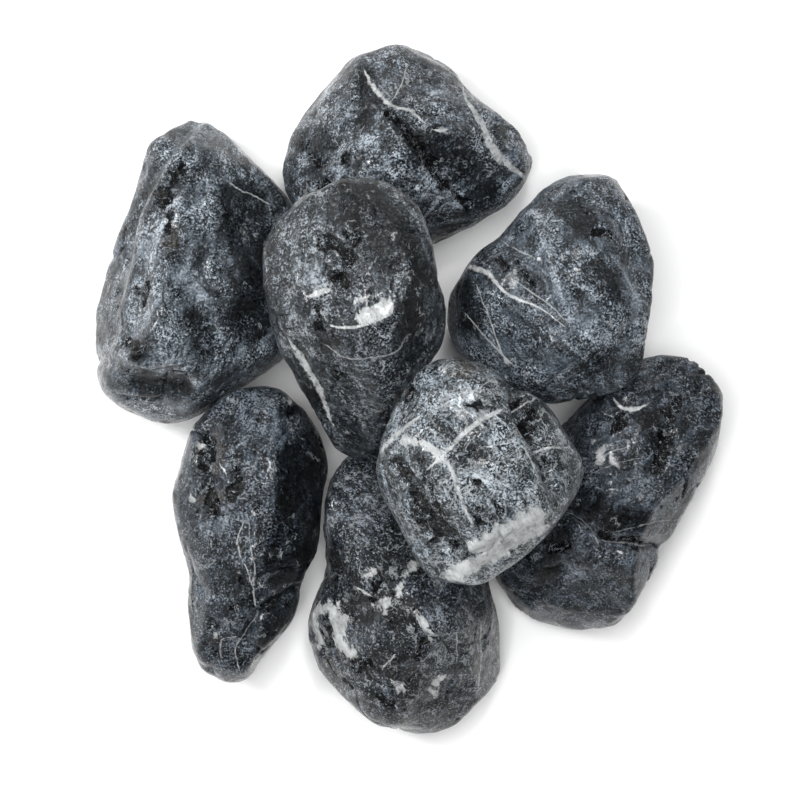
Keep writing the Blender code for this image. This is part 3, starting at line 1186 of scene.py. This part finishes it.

# %% [markdown]
# ## Making and placing a stone
#
# A finished stone rides on its body of the frame and stands in for the plain solid, so that it moves when
# the pile is taken apart.

# %% Make a stone
PLAIN_LOOK = {
    "tint": (0.80, 1.0, 1.22),  # blue-grey
    "body": 0.050,  # how light the rock is
    "grain": 0.62,  # how far apart the grains are, in mm
    "cloud": 5.0,  # and the clouds that they gather in
    "grain_contrast": 1.0,
    "cloud_contrast": 1.0,
    "black": 0.8,  # how strong the black crystals are
    "white": 0.4,  # and the white ones
    "hush": 0.85,  # how far a patch of dark rock and painted shade hides its white crystals
    "bedding": 60.0,  # which way the layers run, in degrees
    "black_seams": 0.5,  # how many black seams, white seams and blotches there are
    "white_seams": 0.35,
    "blotches": 0.35,
    "blotch_white": 0.55,
    "web": 0.30,  # how many healed cracks there are
    "web_spacing": 6.0,
    "web_width": 0.09,
    "web_white": 0.6,
    "wander": 0.35,  # how much a vein wanders off its line
    "breaks": 0.4,  # how often it is broken
    "dull": 0.32,  # the mean roughness
    "oil": 0.45,
    "bite": 0.19,  # how far hard crystals stand proud, in mm
}


def make_stone(**look):
    """Shape, finish and place one stone."""
    look = {**PLAIN_LOOK, **look}
    stone = shape_stone(look)
    stone.data.materials.append(stone_finish(look))
    return stone


print("a plain stone has", len(PLAIN_LOOK), "values")

# %% [markdown]
# ## The back stone
#
# A broad, blue-grey stone, the smoothest to the touch. A thick vein runs down its right side, two thin ones
# cross near its crest, and a rough crack breaks the surface diagonally.

# %% Back stone
back = make_stone(
    name="back", seed=1, bedding=35,
    facets=[(200, 50, 1.5), (100, 55, 1.2), (30, 50, 1.8), (320, 55, 1.8), (250, 50, 1.2)],
    black_seams=0.8, body=0.074, cloud=5.0, grain_contrast=1.15,
    veins=[
        (0.9, [
            (-13, 21, 0.25), (-10.5, 16.5, 0.6), (-7.5, 12.5, 0.5), (-4, 10, 0.35), (0.5, 9, 0.55),
            (3.5, 6, 0.25), (5, 5, 0.1),
        ]),
        (0.7, [(-0.5, 23, 0.12), (-2, 17.5, 0.2), (-4, 13.5, 0.2), (-6, 10, 0.1)]),
        (0.9, [
            (16, 18, 0.15), (17, 13, 0.35), (19.5, 9.5, 0.7), (22, 4, 0.9), (24, -0.5, 1.15),
            (27, -4, 1.2), (31, -6.5, 0.7), (34.5, -9, 0.4),
        ]),
        (0.9, [(7.5, 3.2, 0.3), (9, 3.0, 0.5), (11, 3.4, 0.2)]),
    ],
    broken=[
        (1.3, [(-6, 8), (-2, 4), (1.5, -0.5), (4.5, -3.5), (7.5, -8), (12, -13), (17, -17)]),
        (1.6, [(-30, -2), (-27, -5)]),
        (1.2, [(-26, -15), (-24, -11)]),
        (1.4, [(-18, -4), (-17, -6)]),
    ],
    grooves=[
        (-0.8, 6.0, [(-26, 14), (-18, 24)]),
        (1.0, 1.3, [(-6, 8), (-2, 4), (1.5, -0.5), (4.5, -3.5), (7.5, -8), (12, -13), (17, -17)]),
        (0.6, 1.2, [(-29, 8), (-22, 12), (-18, 15)]),
        (-0.8, 2.5, [(-24, -10), (-18, -4), (-10, 1)]),
        (-0.9, 4.0, [(4, -12), (12, -15), (18, -20)]),
        (0.9, 2.5, [(-28, -8), (-20, 1), (-12, 6)]),
    ],
    dark=[
        (4.0, [(-30, 2), (-25, -2), (-27, -9)]),
        (5.0, [(6, 0), (14, -6), (22, -14)]),
        (3.0, [(-14, 20), (-12, 12), (-13, 6)]),
        (3.0, [(2, -1), (-2, 4)]),
    ],
    # Patches pushed lighter: paler rock, and painted highlights along the two raised ridges.
    light=[
        (2.6, [(-24, -10), (-18, -5), (-11, 0)]),
        (2.2, [(-30, -14), (-25, -8), (-20, -3)]),
        (2.0, [(4, 17), (7, 15)]),
        (3.5, [(4, -12), (12, -15)]),
        (2.0, [(-18, 8), (-19, 3)]),
    ],
)

# %% [markdown]
# ## The left stone
#
# The largest stone. A worn ridge runs up its left side; the flank beyond it is streaked by the layers of the
# rock. It has pitted hollows under the ridge, a short groove, and a lip along its front end.

# %% Left stone
left = make_stone(
    name="left", seed=2, bedding=62,
    facets=[
        (161, 3, 4.6), (43, 3, 1.6), (125, 5, 3.2), (166, 36, 5.5), (20, 58, 2.5), (262, 38, 2.5),
        (75, 35, 1.5), (330, 60, 1.2), (120, 60, 0.8),
    ],
    black_seams=0.5, white_seams=0.1, blotches=0.15, grain_contrast=0.8, body=0.084, cloud=7.0,
    cloud_contrast=0.9, white=0.35, tint=(0.82, 1.0, 1.19),
    veins=[(0.7, [(7, 26, 0.1), (12, 22.5, 0.18), (16.5, 21, 0.18), (20, 19, 0.1)])],
    broken=[
        (2.3, [(-5, 29), (-6.5, 25), (-9, 20)]),
        (1.4, [(-7, 14), (-7.5, 10)]),
        (1.0, [(-14, -6), (-15, -12)]),
        (1.0, [(-18, -23), (-16, -25)]),
    ],
    grooves=[
        (-1.7, 7.0, [(-24, -34), (-14, -39), (-4, -41)]),
        (-1.4, 2.2, [
            (1, 41), (-6.5, 29), (-11.5, 20), (-14.5, 14), (-16.5, 4), (-19, -8), (-20.5, -19.5),
            (-22.5, -25),
        ]),
        (1.0, 1.6, [(-2, 42), (-10.5, 30), (-15.5, 20), (-19, 12), (-21, 0)]),
        (2.0, 1.1, [(2.5, 1), (3.3, -3.3), (5.6, -7), (7.8, -9)]),
        (1.4, 4.0, [(-5, 28), (-8, 20), (-8, 11)]),
        (-1.2, 1.6, [(-19.6, -26.5), (-13, -28.6), (-5.6, -28), (-1.5, -30.5)]),
        (1.8, 2.4, [(-17, -33.5), (-10, -33.5), (-3.5, -34)]),
        (1.5, 1.6, [(-31, -27.5), (-27, -28.5)]),
        (-0.8, 3.0, [(13, 0), (12, -10), (9, -18)]),
        (-0.8, 3.0, [(3, 33), (6, 20), (8, 8)]),
    ],
    # Patches pushed darker: painted shade on the right slope, which faces away from the light, and in the
    # recess under the front lip, and darker rock.
    dark=[
        (7.0, [(12, 18), (16, 6), (18, -6), (14, -16)]),
        (2.5, [(-17, -35), (-10, -36), (-3.5, -35)]),
        (2.0, [(-17.5, -24), (-16, -25)]),
        (3.0, [(0, -16), (4, -24)]),
    ],
    # Patches pushed lighter: a painted highlight on the left and along the front lip, and paler rock.
    light=[
        (4.0, [(-12, 10), (-14.5, -2), (-16, -14)]),
        (1.3, [(-19.6, -26), (-13, -28.4), (-5.6, -27.7)]),
        (2.0, [(-8, 17), (-5, 15)]),
        (3.0, [(-1, -4), (2, -12)]),
    ],
    streaks=[
        (0.9, [(-4, 39), (-12, 26), (-18, 13), (-21, 1), (-24, -11)]),
        (0.7, [(-10, 34), (-18, 20), (-23, 8), (-27, -8)]),
    ],
    brown=[(2.5, [(-6, 10), (-7, 6)])],
)

# %% [markdown]
# ## The middle stone
#
# Seen end on, it leans over its neighbours. Its crown is freckled with black pits, a patch of calcite sits
# on its right shoulder and a fine arc runs beneath it.

# %% Middle stone
middle = make_stone(
    name="middle", seed=3, bedding=-75,
    facets=[(150, 55, 1.2), (225, 45, 1.2), (0, 45, 1.8), (75, 50, 1.8), (285, 55, 1.2)],
    black_seams=0.95, blotches=0.45, body=0.058, cloud=5.0, grain_contrast=1.1, tint=(0.82, 1.0, 1.18),
    veins=[
        (1.0, [
            (-18.2, -5.4, 0.2), (-15, -11, 0.6), (-11.8, -16.6, 0.5), (-9, -22.3, 0.6),
            (-6.5, -29.6, 0.2),
        ]),
        (0.95, [(-12.3, 6.6, 0.35), (-9.5, 7.8, 0.8), (-7.2, 8.4, 0.6)]),
        (0.95, [(-6, -1.4, 0.3), (-1, -2, 0.4), (4, -1.2, 0.2)]),
        (0.55, [
            (-7.5, -7, 0.1), (-4, -9.2, 0.16), (0, -10.2, 0.18), (5, -9.9, 0.18), (10, -9.4, 0.18),
            (13, -7.7, 0.16), (15, -4, 0.1),
        ]),
    ],
    calcite=[(2.5, [(3.5, 1.2), (6.5, 2.4), (9, 3.6)]), (0.7, [(1, 5.5), (5, 7)])],
    broken=[
        (1.9, [(-8.5, 23), (-4, 20), (-1, 16.5)]),
        (1.2, [(-6, 12.5), (-3, 12)]),
        (1.3, [(-2, 9.5), (-3, 13)]),
        (1.0, [(0, 23), (-2, 25)]),
        (0.9, [(-10, 2), (-8.5, -2)]),
        (1.0, [(-4, -14), (-1, -16)]),
    ],
    # Patches pushed darker: painted shade on the right side and upper right, which face the right stone, and
    # darker rock.
    dark=[
        (6.5, [(1, 33), (7, 29), (12, 21)]),
        (4.0, [(19, 15), (18, 2), (15, -8)]),
        (3.0, [(-9, -3), (-6, -6)]),
        (2.5, [(-17, -12), (-11, -22)]),
    ],
    # Patches pushed lighter: a painted highlight on the upper left of the crown, and paler rock.
    light=[
        (5.0, [(-13, 24), (-14, 16), (-11, 12)]),
        (3.0, [(1, 18), (3, 12)]),
        (2.0, [(-14, -3), (-18, 4)]),
    ],
    streaks=[
        (0.6, [(-20, 3), (-16, -7), (-11, -18)]),
        (0.5, [(-22, 8), (-19, -2)]),
        (0.6, [(17, 20), (19, 8), (18, -6)]),
        (0.5, [(14, 24), (16.5, 10), (15.5, -4)]),
    ],
    grooves=[
        (1.0, 1.0, [(-16, -7), (-12.5, -14), (-9, -20)]),
        (0.9, 2.2, [(-6, 21), (-2, 14), (-4, 8)]),
        (-0.8, 3.0, [(-14, 25), (-15, 14), (-12, 5)]),
    ],
)

# %% [markdown]
# ## The right stone
#
# Smooth and steel blue. A white vein tapers across it from the left, hairlines fan out beneath, and two rows
# of glossy black pits follow the bedding. A long soft ridge runs down it, with a painted highlight along it.

# %% Right stone
right = make_stone(
    name="right", seed=4, bedding=-60,
    facets=[
        (-6, 0, 3.0), (20, 0, 2.2), (215, 55, 1.8), (110, 55, 1.2), (20, 50, 1.8), (320, 50, 2.2),
        (170, 50, 0.8),
    ],
    black_seams=0.4, white_seams=0.15, blotches=0.15, body=0.068, grain_contrast=0.85,
    cloud_contrast=0.75, white=0.3, black=0.55, dull=0.34, oil=0.32, web=0.2, breaks=0.1, wander=0.2,
    veins=[
        (0.95, [
            (-27, 7, 0.7), (-22, 4.7, 0.8), (-19.5, 3.3, 0.65), (-16.5, -0.6, 0.45), (-12.9, -3.6, 0.4),
            (-9.5, -5.1, 0.32), (-5.3, -6.8, 0.22), (-1, -9.7, 0.14), (2, -12.3, 0.08),
        ]),
        (0.6, [(-14.7, 13, 0.12), (-10.7, 9.6, 0.16), (-7, 7.7, 0.12)]),
        (0.65, [
            (-22.5, -0.4, 0.1), (-21, -4.8, 0.16), (-19, -9.2, 0.18), (-15.9, -17.8, 0.18),
            (-13.5, -22.8, 0.2),
        ]),
        (0.65, [(-25, -9, 0.1), (-20.7, -14, 0.18), (-16.4, -18.7, 0.25), (-12.5, -22.8, 0.3)]),
        (0.6, [(-11.5, 0.7, 0.1), (-6.7, -2.8, 0.16), (-1.6, -6.6, 0.16), (2, -10.3, 0.1)]),
    ],
    broken=[
        (0.9, [(6, 25), (8, 22.5), (9.3, 20), (12, 15)]),
        (0.8, [(-10.8, 5.7), (-8, 2.1), (-5.3, -2.2)]),
        (0.6, [(1.5, -19), (3, -20)]),
        (0.7, [(16, 14), (18, 11)]),
        (0.8, [(-16, 7), (-14, 5)]),
    ],
    grooves=[
        (-1.5, 6.0, [(-26, 16), (-18, 22)]),
        (-1.0, 6.0, [(-6, 33), (6, 36)]),
        (-1.4, 2.0, [(-6, 20), (-4.7, 16), (-2.3, 9.4), (0.2, 0.5), (2, -6)]),
        (1.0, 1.8, [(16, 23), (19, 18), (21.3, 12.6), (23.2, 6.1)]),
        (0.8, 0.8, [(-1.9, -29.5), (3.7, -23.7), (7.9, -20.9)]),
        (0.9, 2.0, [(-15, 12), (-12, 14)]),
        (-0.6, 3.5, [(14, 20), (17, 8), (17, -4)]),
    ],
    dark=[
        (2.5, [(25.2, -21.3), (22.9, -24.5)]),
        (4.0, [(4, 22), (8, 18)]),
        (4.0, [(-26, -2), (-24, -10)]),
        (3.0, [(9, -24), (15, -22)]),
        (3.5, [(12, 4), (16, -3)]),
    ],
    # Patches pushed lighter: a painted highlight along the long ridge, a painted reflection on the right
    # flank, and paler rock.
    light=[
        (3.2, [(5, -9), (9, -12), (13, -16)]),
        (1.5, [(-4.7, 16), (-2.3, 9.4), (0.2, 0.5), (2, -6)]),
        (2.5, [(23.5, 0), (24.2, -8), (24, -15)]),
        (2.0, [(-8, 22), (-4, 20)]),
    ],
    streaks=[(0.5, [(24, 2), (25.5, -6), (25, -14)]), (0.4, [(27, 0), (28, -8)])],
)

# %% [markdown]
# ## The front left stone
#
# The darkest stone, long, with a small lobe split off by an open crack at its front. A shallow oval recess
# with a brown lip lies on its left, and two fine veins run side by side down its face.

# %% Front left stone
front_left = make_stone(
    name="front_left", seed=5, bedding=80,
    facets=[(318, 5, 3.8), (165, 5, 1.8), (190, 40, 1.2), (10, 40, 2.2), (90, 50, 0.8), (260, 60, 1.6)],
    black_seams=0.3, white_seams=0.3, blotches=0.35, blotch_white=0.4, body=0.032, tint=(0.76, 1.0, 1.30),
    cloud=5.0, white=0.45, breaks=0.45,
    veins=[
        (0.6, [
            (-0.3, 5.5, 0.1), (-2.7, -0.4, 0.2), (-2, -5.4, 0.2), (0, -9.2, 0.22), (1.3, -13.7, 0.22),
            (2.3, -19.7, 0.2),
        ]),
        (0.55, [
            (0.6, 4, 0.1), (0.8, -0.4, 0.16), (1.4, -4.8, 0.18), (2.2, -9.2, 0.2), (1.8, -13.7, 0.2),
        ]),
        (0.6, [(2.2, -24.8, 0.15), (-1.7, -29.4, 0.2), (-4, -33.5, 0.2), (-3, -39.1, 0.1)]),
        (0.6, [(-8.3, -35.2, 0.2), (-8, -30.4, 0.25), (-4, -29.4, 0.1)]),
        (0.6, [(-17.8, -4, 0.15), (-17, -10, 0.25), (-15, -14, 0.15)]),
    ],
    calcite=[
        (0.7, [(-14.5, 26.3)]),
        (0.5, [(-16.2, 10.4)]),
        (0.6, [(-10.3, -27), (-10, -29)]),
        (0.8, [(11, 38.6)]),
    ],
    broken=[
        (2.0, [(-12.5, 30), (-12, 25), (-13, 20)]),
        (1.5, [(-2.7, 18.8), (-2.5, 15.6), (-4.4, 12.7)]),
        (1.2, [(-11, 14), (-9, 8)]),
        (0.8, [(12, 36)]),
        (0.7, [(-4, -20), (0, -19)]),
    ],
    grooves=[
        (-1.6, 6.0, [(-12, -38), (-4, -42)]),
        (2.1, 2.6, [(-12, 31), (-11, 25.7), (-12, 19.9), (-10, 15.6)]),
        (2.7, 1.5, [(14, -16), (9, -18.7), (5.7, -20.5), (2.5, -24.2), (-0.2, -28.2)]),
        (1.8, 1.4, [(12.2, 36)]),
        (0.8, 0.6, [(9.3, 28.3), (12, 31.5), (14.2, 33.5)]),
        (-0.8, 1.3, [(2.3, 36), (0.5, 31.5), (-1, 26.5)]),
        (0.9, 1.2, [(-18, -6.9), (-16, -12.8), (-12.8, -16.9)]),
        (0.8, 0.9, [(3, 19.5), (-1.5, 20), (-4, 17.5)]),
    ],
    # Patches pushed lighter: a painted highlight along the small ridge at the top, and paler rock.
    light=[
        (1.5, [(2.1, 35.4), (0.5, 31.5), (-0.9, 27.2)]),
        (2.6, [(-3, 18), (-3, 14), (-6, 10)]),
        (5.0, [(2, 36), (6, 30)]),
        (2.2, [(-12, 2), (-4, 4)]),
    ],
    # Patches pushed darker: painted shade over the right half, which faces into the pile, and in the small
    # hole at the top, and darker rock.
    dark=[
        (8.5, [(17, 22), (17, 6), (13, -8)]),
        (4.5, [(10, -24), (6, -34)]),
        (2.0, [(12.2, 36)]),
        (3.0, [(-4, -12), (0, -18)]),
    ],
    brown=[
        (1.6, [(-9.5, 30), (-8.5, 24), (-9.5, 19)]),
        (2.5, [(-11.6, 11), (-8, 11)]),
        (1.2, [(-11, -31)]),
    ],
)

# %% [markdown]
# ## The front stone
#
# The most mottled one: black, blue and white in blotches, like marble that was crushed and healed. Its
# biggest calcite patch is at the left shoulder.

# %% Front stone
front = make_stone(
    name="front", seed=6, bedding=-60,
    facets=[(315, 5, 1.2), (195, 50, 1.2), (80, 55, 1.6), (10, 35, 1.8), (300, 50, 1.8), (240, 50, 1.2)],
    black_seams=1.1, white_seams=0.5, blotches=0.75, blotch_white=0.8, hush=0.3, body=0.036,
    tint=(0.76, 1.0, 1.30), cloud=5.5, grain_contrast=1.4, cloud_contrast=1.5, black=1.0, white=1.0,
    veins=[
        (0.6, [(22, -9, 0.15), (22.7, -18.1, 0.25), (22.2, -24.9, 0.25), (21.1, -30.6, 0.1)]),
        (0.6, [(14.9, -10.8, 0.15), (15, -18.7, 0.15)]),
        (0.8, [(-6.5, -20.5, 0.1), (-5.5, -19.2, 0.25), (-3, -16.5, 0.15)]),
        (0.8, [(-14, 2.5, 0.2), (-11.5, 1.2, 0.4), (-10, 0.5, 0.2)]),
    ],
    calcite=[
        (1.6, [(-27, -9), (-25, -5), (-21, -4), (-18.5, -7)]),
        (1.4, [(-18.5, -8), (-19, -13), (-15.5, -16.5)]),
        (0.9, [(-26, -11), (-25, -15)]),
        (0.9, [(-7.5, -2), (-5.5, -0.3), (-6.2, -3.5)]),
        (1.1, [(0.0, 6.4), (2.6, 8.6)]),
        (0.6, [(-1.1, 4.3), (-1.7, 1)]),
        (0.8, [(3.2, -4.7), (5.5, -7.6), (8, -11)]),
        (0.9, [(-2.6, -25.2), (-0.5, -27.2)]),
        (0.6, [(8.9, -26), (11.3, -23.9)]),
        (0.5, [(7.1, -27.9), (9, -30)]),
        (0.5, [(-11, 6.5), (-9, 8)]),
    ],
    broken=[
        (1.4, [(4.7, -13.5), (3, -16)]),
        (1.5, [(-13, -20), (-10, -22)]),
        (1.2, [(-7, -29), (-4, -30)]),
        (1.2, [(-22, -11), (-22, -14)]),
        (1.3, [(-9, 1), (-8, 5)]),
    ],
    dark=[
        (4.0, [(-3, 9), (-6, 1), (-1, -8), (-5.5, -17), (-10, -22)]),
        (4.0, [(-20, 12), (-17, 4), (-12, -4)]),
        (4.0, [(0, -24), (6, -31)]),
    ],
    # Patches pushed lighter: a painted highlight along the ridge on the left, and paler rock.
    light=[
        (2.0, [(-20, 27), (-19.5, 31), (-22, 20), (-23.5, 11)]),
        (4.0, [(6, 2), (10, -4)]),
        (3.0, [(-14, -8), (-12, -13)]),
        (4.0, [(-12, 26), (-10, 18)]),
        (2.0, [(9, -14), (10, -20)]),
    ],
    grooves=[
        (-1.9, 7.0, [(-22, -24), (-16, -30), (-6, -34)]),
        (0.8, 1.5, [(-24, 14), (-24, 6), (-22, 1)]),
        (-0.8, 1.5, [(-21, 30), (-23, 20), (-23.5, 10)]),
        (0.8, 3.0, [(-6, 4), (-2, -6), (-6, -16)]),
        (-0.9, 3.0, [(-26, -8), (-20, -6)]),
    ],
)

# %% [markdown]
# ## The front right stone
#
# Nearly black-blue. A valley cuts across its front third, with a sharp crack at the bottom and broken rock
# whose crumbs sparkle with lamp glints and with glints painted on their rims. Further up sit a small white
# arc and a bright wedge of calcite with a painted highlight on it.

# %% Front right stone
front_right = make_stone(
    name="front_right", seed=7, bedding=35,
    facets=[(331, 3, 2.4), (60, 60, 1.6), (330, 40, 1.8), (150, 60, 1.2), (250, 50, 1.6), (195, 50, 1.2)],
    black_seams=0.35, white_seams=0.2, blotches=0.3, blotch_white=0.4, body=0.030, tint=(0.76, 1.0, 1.30),
    cloud=5.0, grain_contrast=0.95, web=0.25,
    veins=[
        (0.7, [(-12.9, -5, 0.15), (-9.3, -7.2, 0.25), (-6, -11, 0.25), (-4.2, -14.6, 0.15)]),
        (0.9, [(1.5, 28, 0.2), (3.8, 25.4, 0.45), (8, 25.1, 0.55), (11, 26.6, 0.15)]),
        (0.5, [(-4.8, 9, 0.15), (-0.3, 12.5, 0.2), (4.7, 14, 0.1)]),
        (0.4, [(-4.8, 6.7, 0.1), (2, 9.5, 0.15), (9.9, 11, 0.1)]),
        (0.5, [(-3, -14, 0.15), (3, -14.5, 0.2), (12, -16, 0.12)]),
        (0.4, [(-2, -11, 0.1), (10, -8.5, 0.14), (18, -7.5, 0.1)]),
    ],
    calcite=[(0.8, [(-1.8, 13.6), (-3.6, 9.8)]), (0.4, [(-4.5, 16)])],
    broken=[
        (1.8, [(17, 17), (14, 11), (12.5, 8.5)]),
        (1.5, [(18, 23), (20, 27)]),
        (1.3, [(1.3, 19.8), (4, 21)]),
        (0.8, [(-4.4, 18.3)]),
        (1.2, [(-2, -12.5), (4, -13.5), (9, -14.5)]),
        (0.9, [(-16, -16), (-12, -15)]),
    ],
    grooves=[
        (-1.6, 6.0, [(-18, -36), (-8, -39)]),
        (-1.6, 6.0, [(26, 36), (30, 30)]),
        (2.4, 3.2, [(-13, -6), (-7.8, -9.5), (-3.9, -14), (1, -14.8), (6.8, -15.3), (16, -16)]),
        (0.9, 0.7, [(-12, -6), (-7.8, -9.8), (-3.9, -14), (1, -15), (6.8, -15.6), (15, -16)]),
        (-0.8, 1.5, [(-21, -30), (-17, -32.5), (-11, -33.5)]),
        (-0.9, 1.3, [(8, 28.5), (12, 31), (17, 34)]),
        (0.9, 2.2, [(16, 18), (13, 10)]),
    ],
    dark=[
        (4.0, [(-10, 0), (-2, -6), (8, -6)]),
        (3.0, [(10, 22), (14, 16)]),
        (4.0, [(-14, -14), (-18, -22)]),
    ],
    # Patches pushed lighter: painted highlights on the bright wedge and along the small ridge at the back,
    # and paler rock.
    light=[
        (2.5, [(-9.5, -11.5), (-7.5, -14.5)]),
        (2.5, [(-12, -20), (-9, -24)]),
        (3.0, [(6, -20), (11, -20)]),
        (1.0, [(8, 28.5), (12, 31), (17, 34)]),
        (2.5, [(-2, 13), (-5, 10)]),
        (5.0, [(12, 0), (4, 2)]),
    ],
)

# %% [markdown]
# ## The top stone
#
# The palest and the most scarred. A white band crosses it, a deep cleft splits off a slab on its right, its
# front end is a facet of pure calcite, and its left flank is broken, black and glossy. Painted shade darkens
# the cleft.

# %% Top stone
top = make_stone(
    name="top", seed=8, bedding=-55,
    facets=[(90, 75, 1.2), (225, 50, 1.8), (300, 45, 2.6), (45, 50, 1.8), (135, 55, 1.2), (0, 50, 1.2)],
    black_seams=0.7, white_seams=0.9, blotches=0.65, blotch_white=0.75, body=0.086,
    tint=(0.80, 1.0, 1.17), cloud=4.5, grain_contrast=1.15, cloud_contrast=1.2, white=0.9, black=0.7,
    web=0.62, web_spacing=5.0, wander=0.25,
    veins=[
        (1.0, [
            (5.4, 17.6, 0.55), (0.6, 15.3, 0.65), (-4.4, 11.5, 0.6), (-7.8, 7.9, 0.5), (-10.5, 5.1, 0.4),
            (-14.7, 1.2, 0.2),
        ]),
        (0.9, [(-16.6, 15.9, 0.2), (-20.5, 13.1, 0.5), (-24.4, 9.6, 0.5), (-27.9, 5.9, 0.4)]),
        (0.85, [
            (-11.7, 5.4, 0.5), (-8.3, 1.8, 0.5), (-6.4, -3.7, 0.5), (-4.5, -9.3, 0.4), (-2.3, -13.4, 0.3),
        ]),
        (0.7, [(9.1, 18.1, 0.2), (14.4, 20.3, 0.3), (20.1, 22.8, 0.25)]),
        (0.7, [(15.1, 7.3, 0.2), (19, 7.2, 0.3), (24, 7.2, 0.25)]),
        (0.6, [(3.9, 7.9, 0.15), (10.4, 8.4, 0.2), (14, 3.1, 0.15), (15.9, -1.1, 0.1)]),
        (0.5, [(-12, 18, 0.1), (-4, 22, 0.15), (4, 26, 0.12)]),
    ],
    calcite=[
        (1.2, [(-21, 9), (-16.6, 8.7), (-13.3, 6.8), (-11.7, 5.4)]),
        (2.6, [(15, -11.5), (6.1, -16.3), (-1.1, -20.5)]),
        (2.2, [(16, -15), (6, -21), (-2, -25.5), (-7, -28)]),
    ],
    broken=[
        (2.4, [(-23, 3), (-19, -3), (-16, -10), (-12, -17)]),
        (1.8, [(-17, 3), (-14, -4), (-11, -12), (-7, -20)]),
        (1.2, [(-19.4, 22), (-17.4, 19.8)]),
        (1.0, [(-1.2, -2.3), (0.5, -1)]),
        (1.3, [(11, 22), (13, 17), (15, 12)]),
        (0.8, [(4.7, -10.7), (4.2, -9)]),
        (1.0, [(-3, -10), (-1, -12)]),
        (0.9, [(-4, 19), (-1, 18.5)]),
    ],
    grooves=[
        (3.9, 1.7, [
            (8, 29), (10.2, 24.3), (10.6, 18.4), (12.9, 12.8), (16, 7.3), (18.2, 2.5), (19.6, -2.5),
        ]),
        (1.2, 2.6, [(-21, 2), (-17, -5), (-13, -13), (-8, -20)]),
        (0.8, 1.0, [(14.5, 20), (16.5, 14), (18.5, 9)]),
        (-0.8, 1.2, [(18, -10.5), (8, -15), (-2, -20), (-7, -23)]),
    ],
    # Patches pushed darker: painted shade down the cleft and in the crease beside it.
    dark=[
        (1.4, [(8, 29), (10.2, 24.3), (10.6, 18.4), (12.9, 12.8), (16, 7.3), (18.2, 2.5), (19.6, -2.5)]),
        (2.0, [(16, 19), (19, 12)]),
    ],
    light=[
        (4.0, [(-2.2, 19.8), (-10.5, 21.2)]),
        (4.0, [(3.3, -2.3), (8.8, -6.5)]),
        (3.0, [(-24, 14), (-24, 8)]),
    ],
    brown=[(2.0, [(-8, 29), (-3.4, 28.8)])],
)

# %% [markdown]
# ## Place every stone on its body
#
# Each stone rides on the body it belongs to and stands for the plain solid there.

# %% Ride
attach(back, "back")
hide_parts("back_stone")
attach(left, "left")
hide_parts("left_stone")
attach(middle, "middle")
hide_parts("middle_stone")
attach(right, "right")
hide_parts("right_stone")
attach(front_left, "front_left")
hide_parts("front_left_stone")
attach(front, "front")
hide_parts("front_stone")
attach(front_right, "front_right")
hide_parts("front_right_stone")
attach(top, "top")
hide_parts("top_stone")
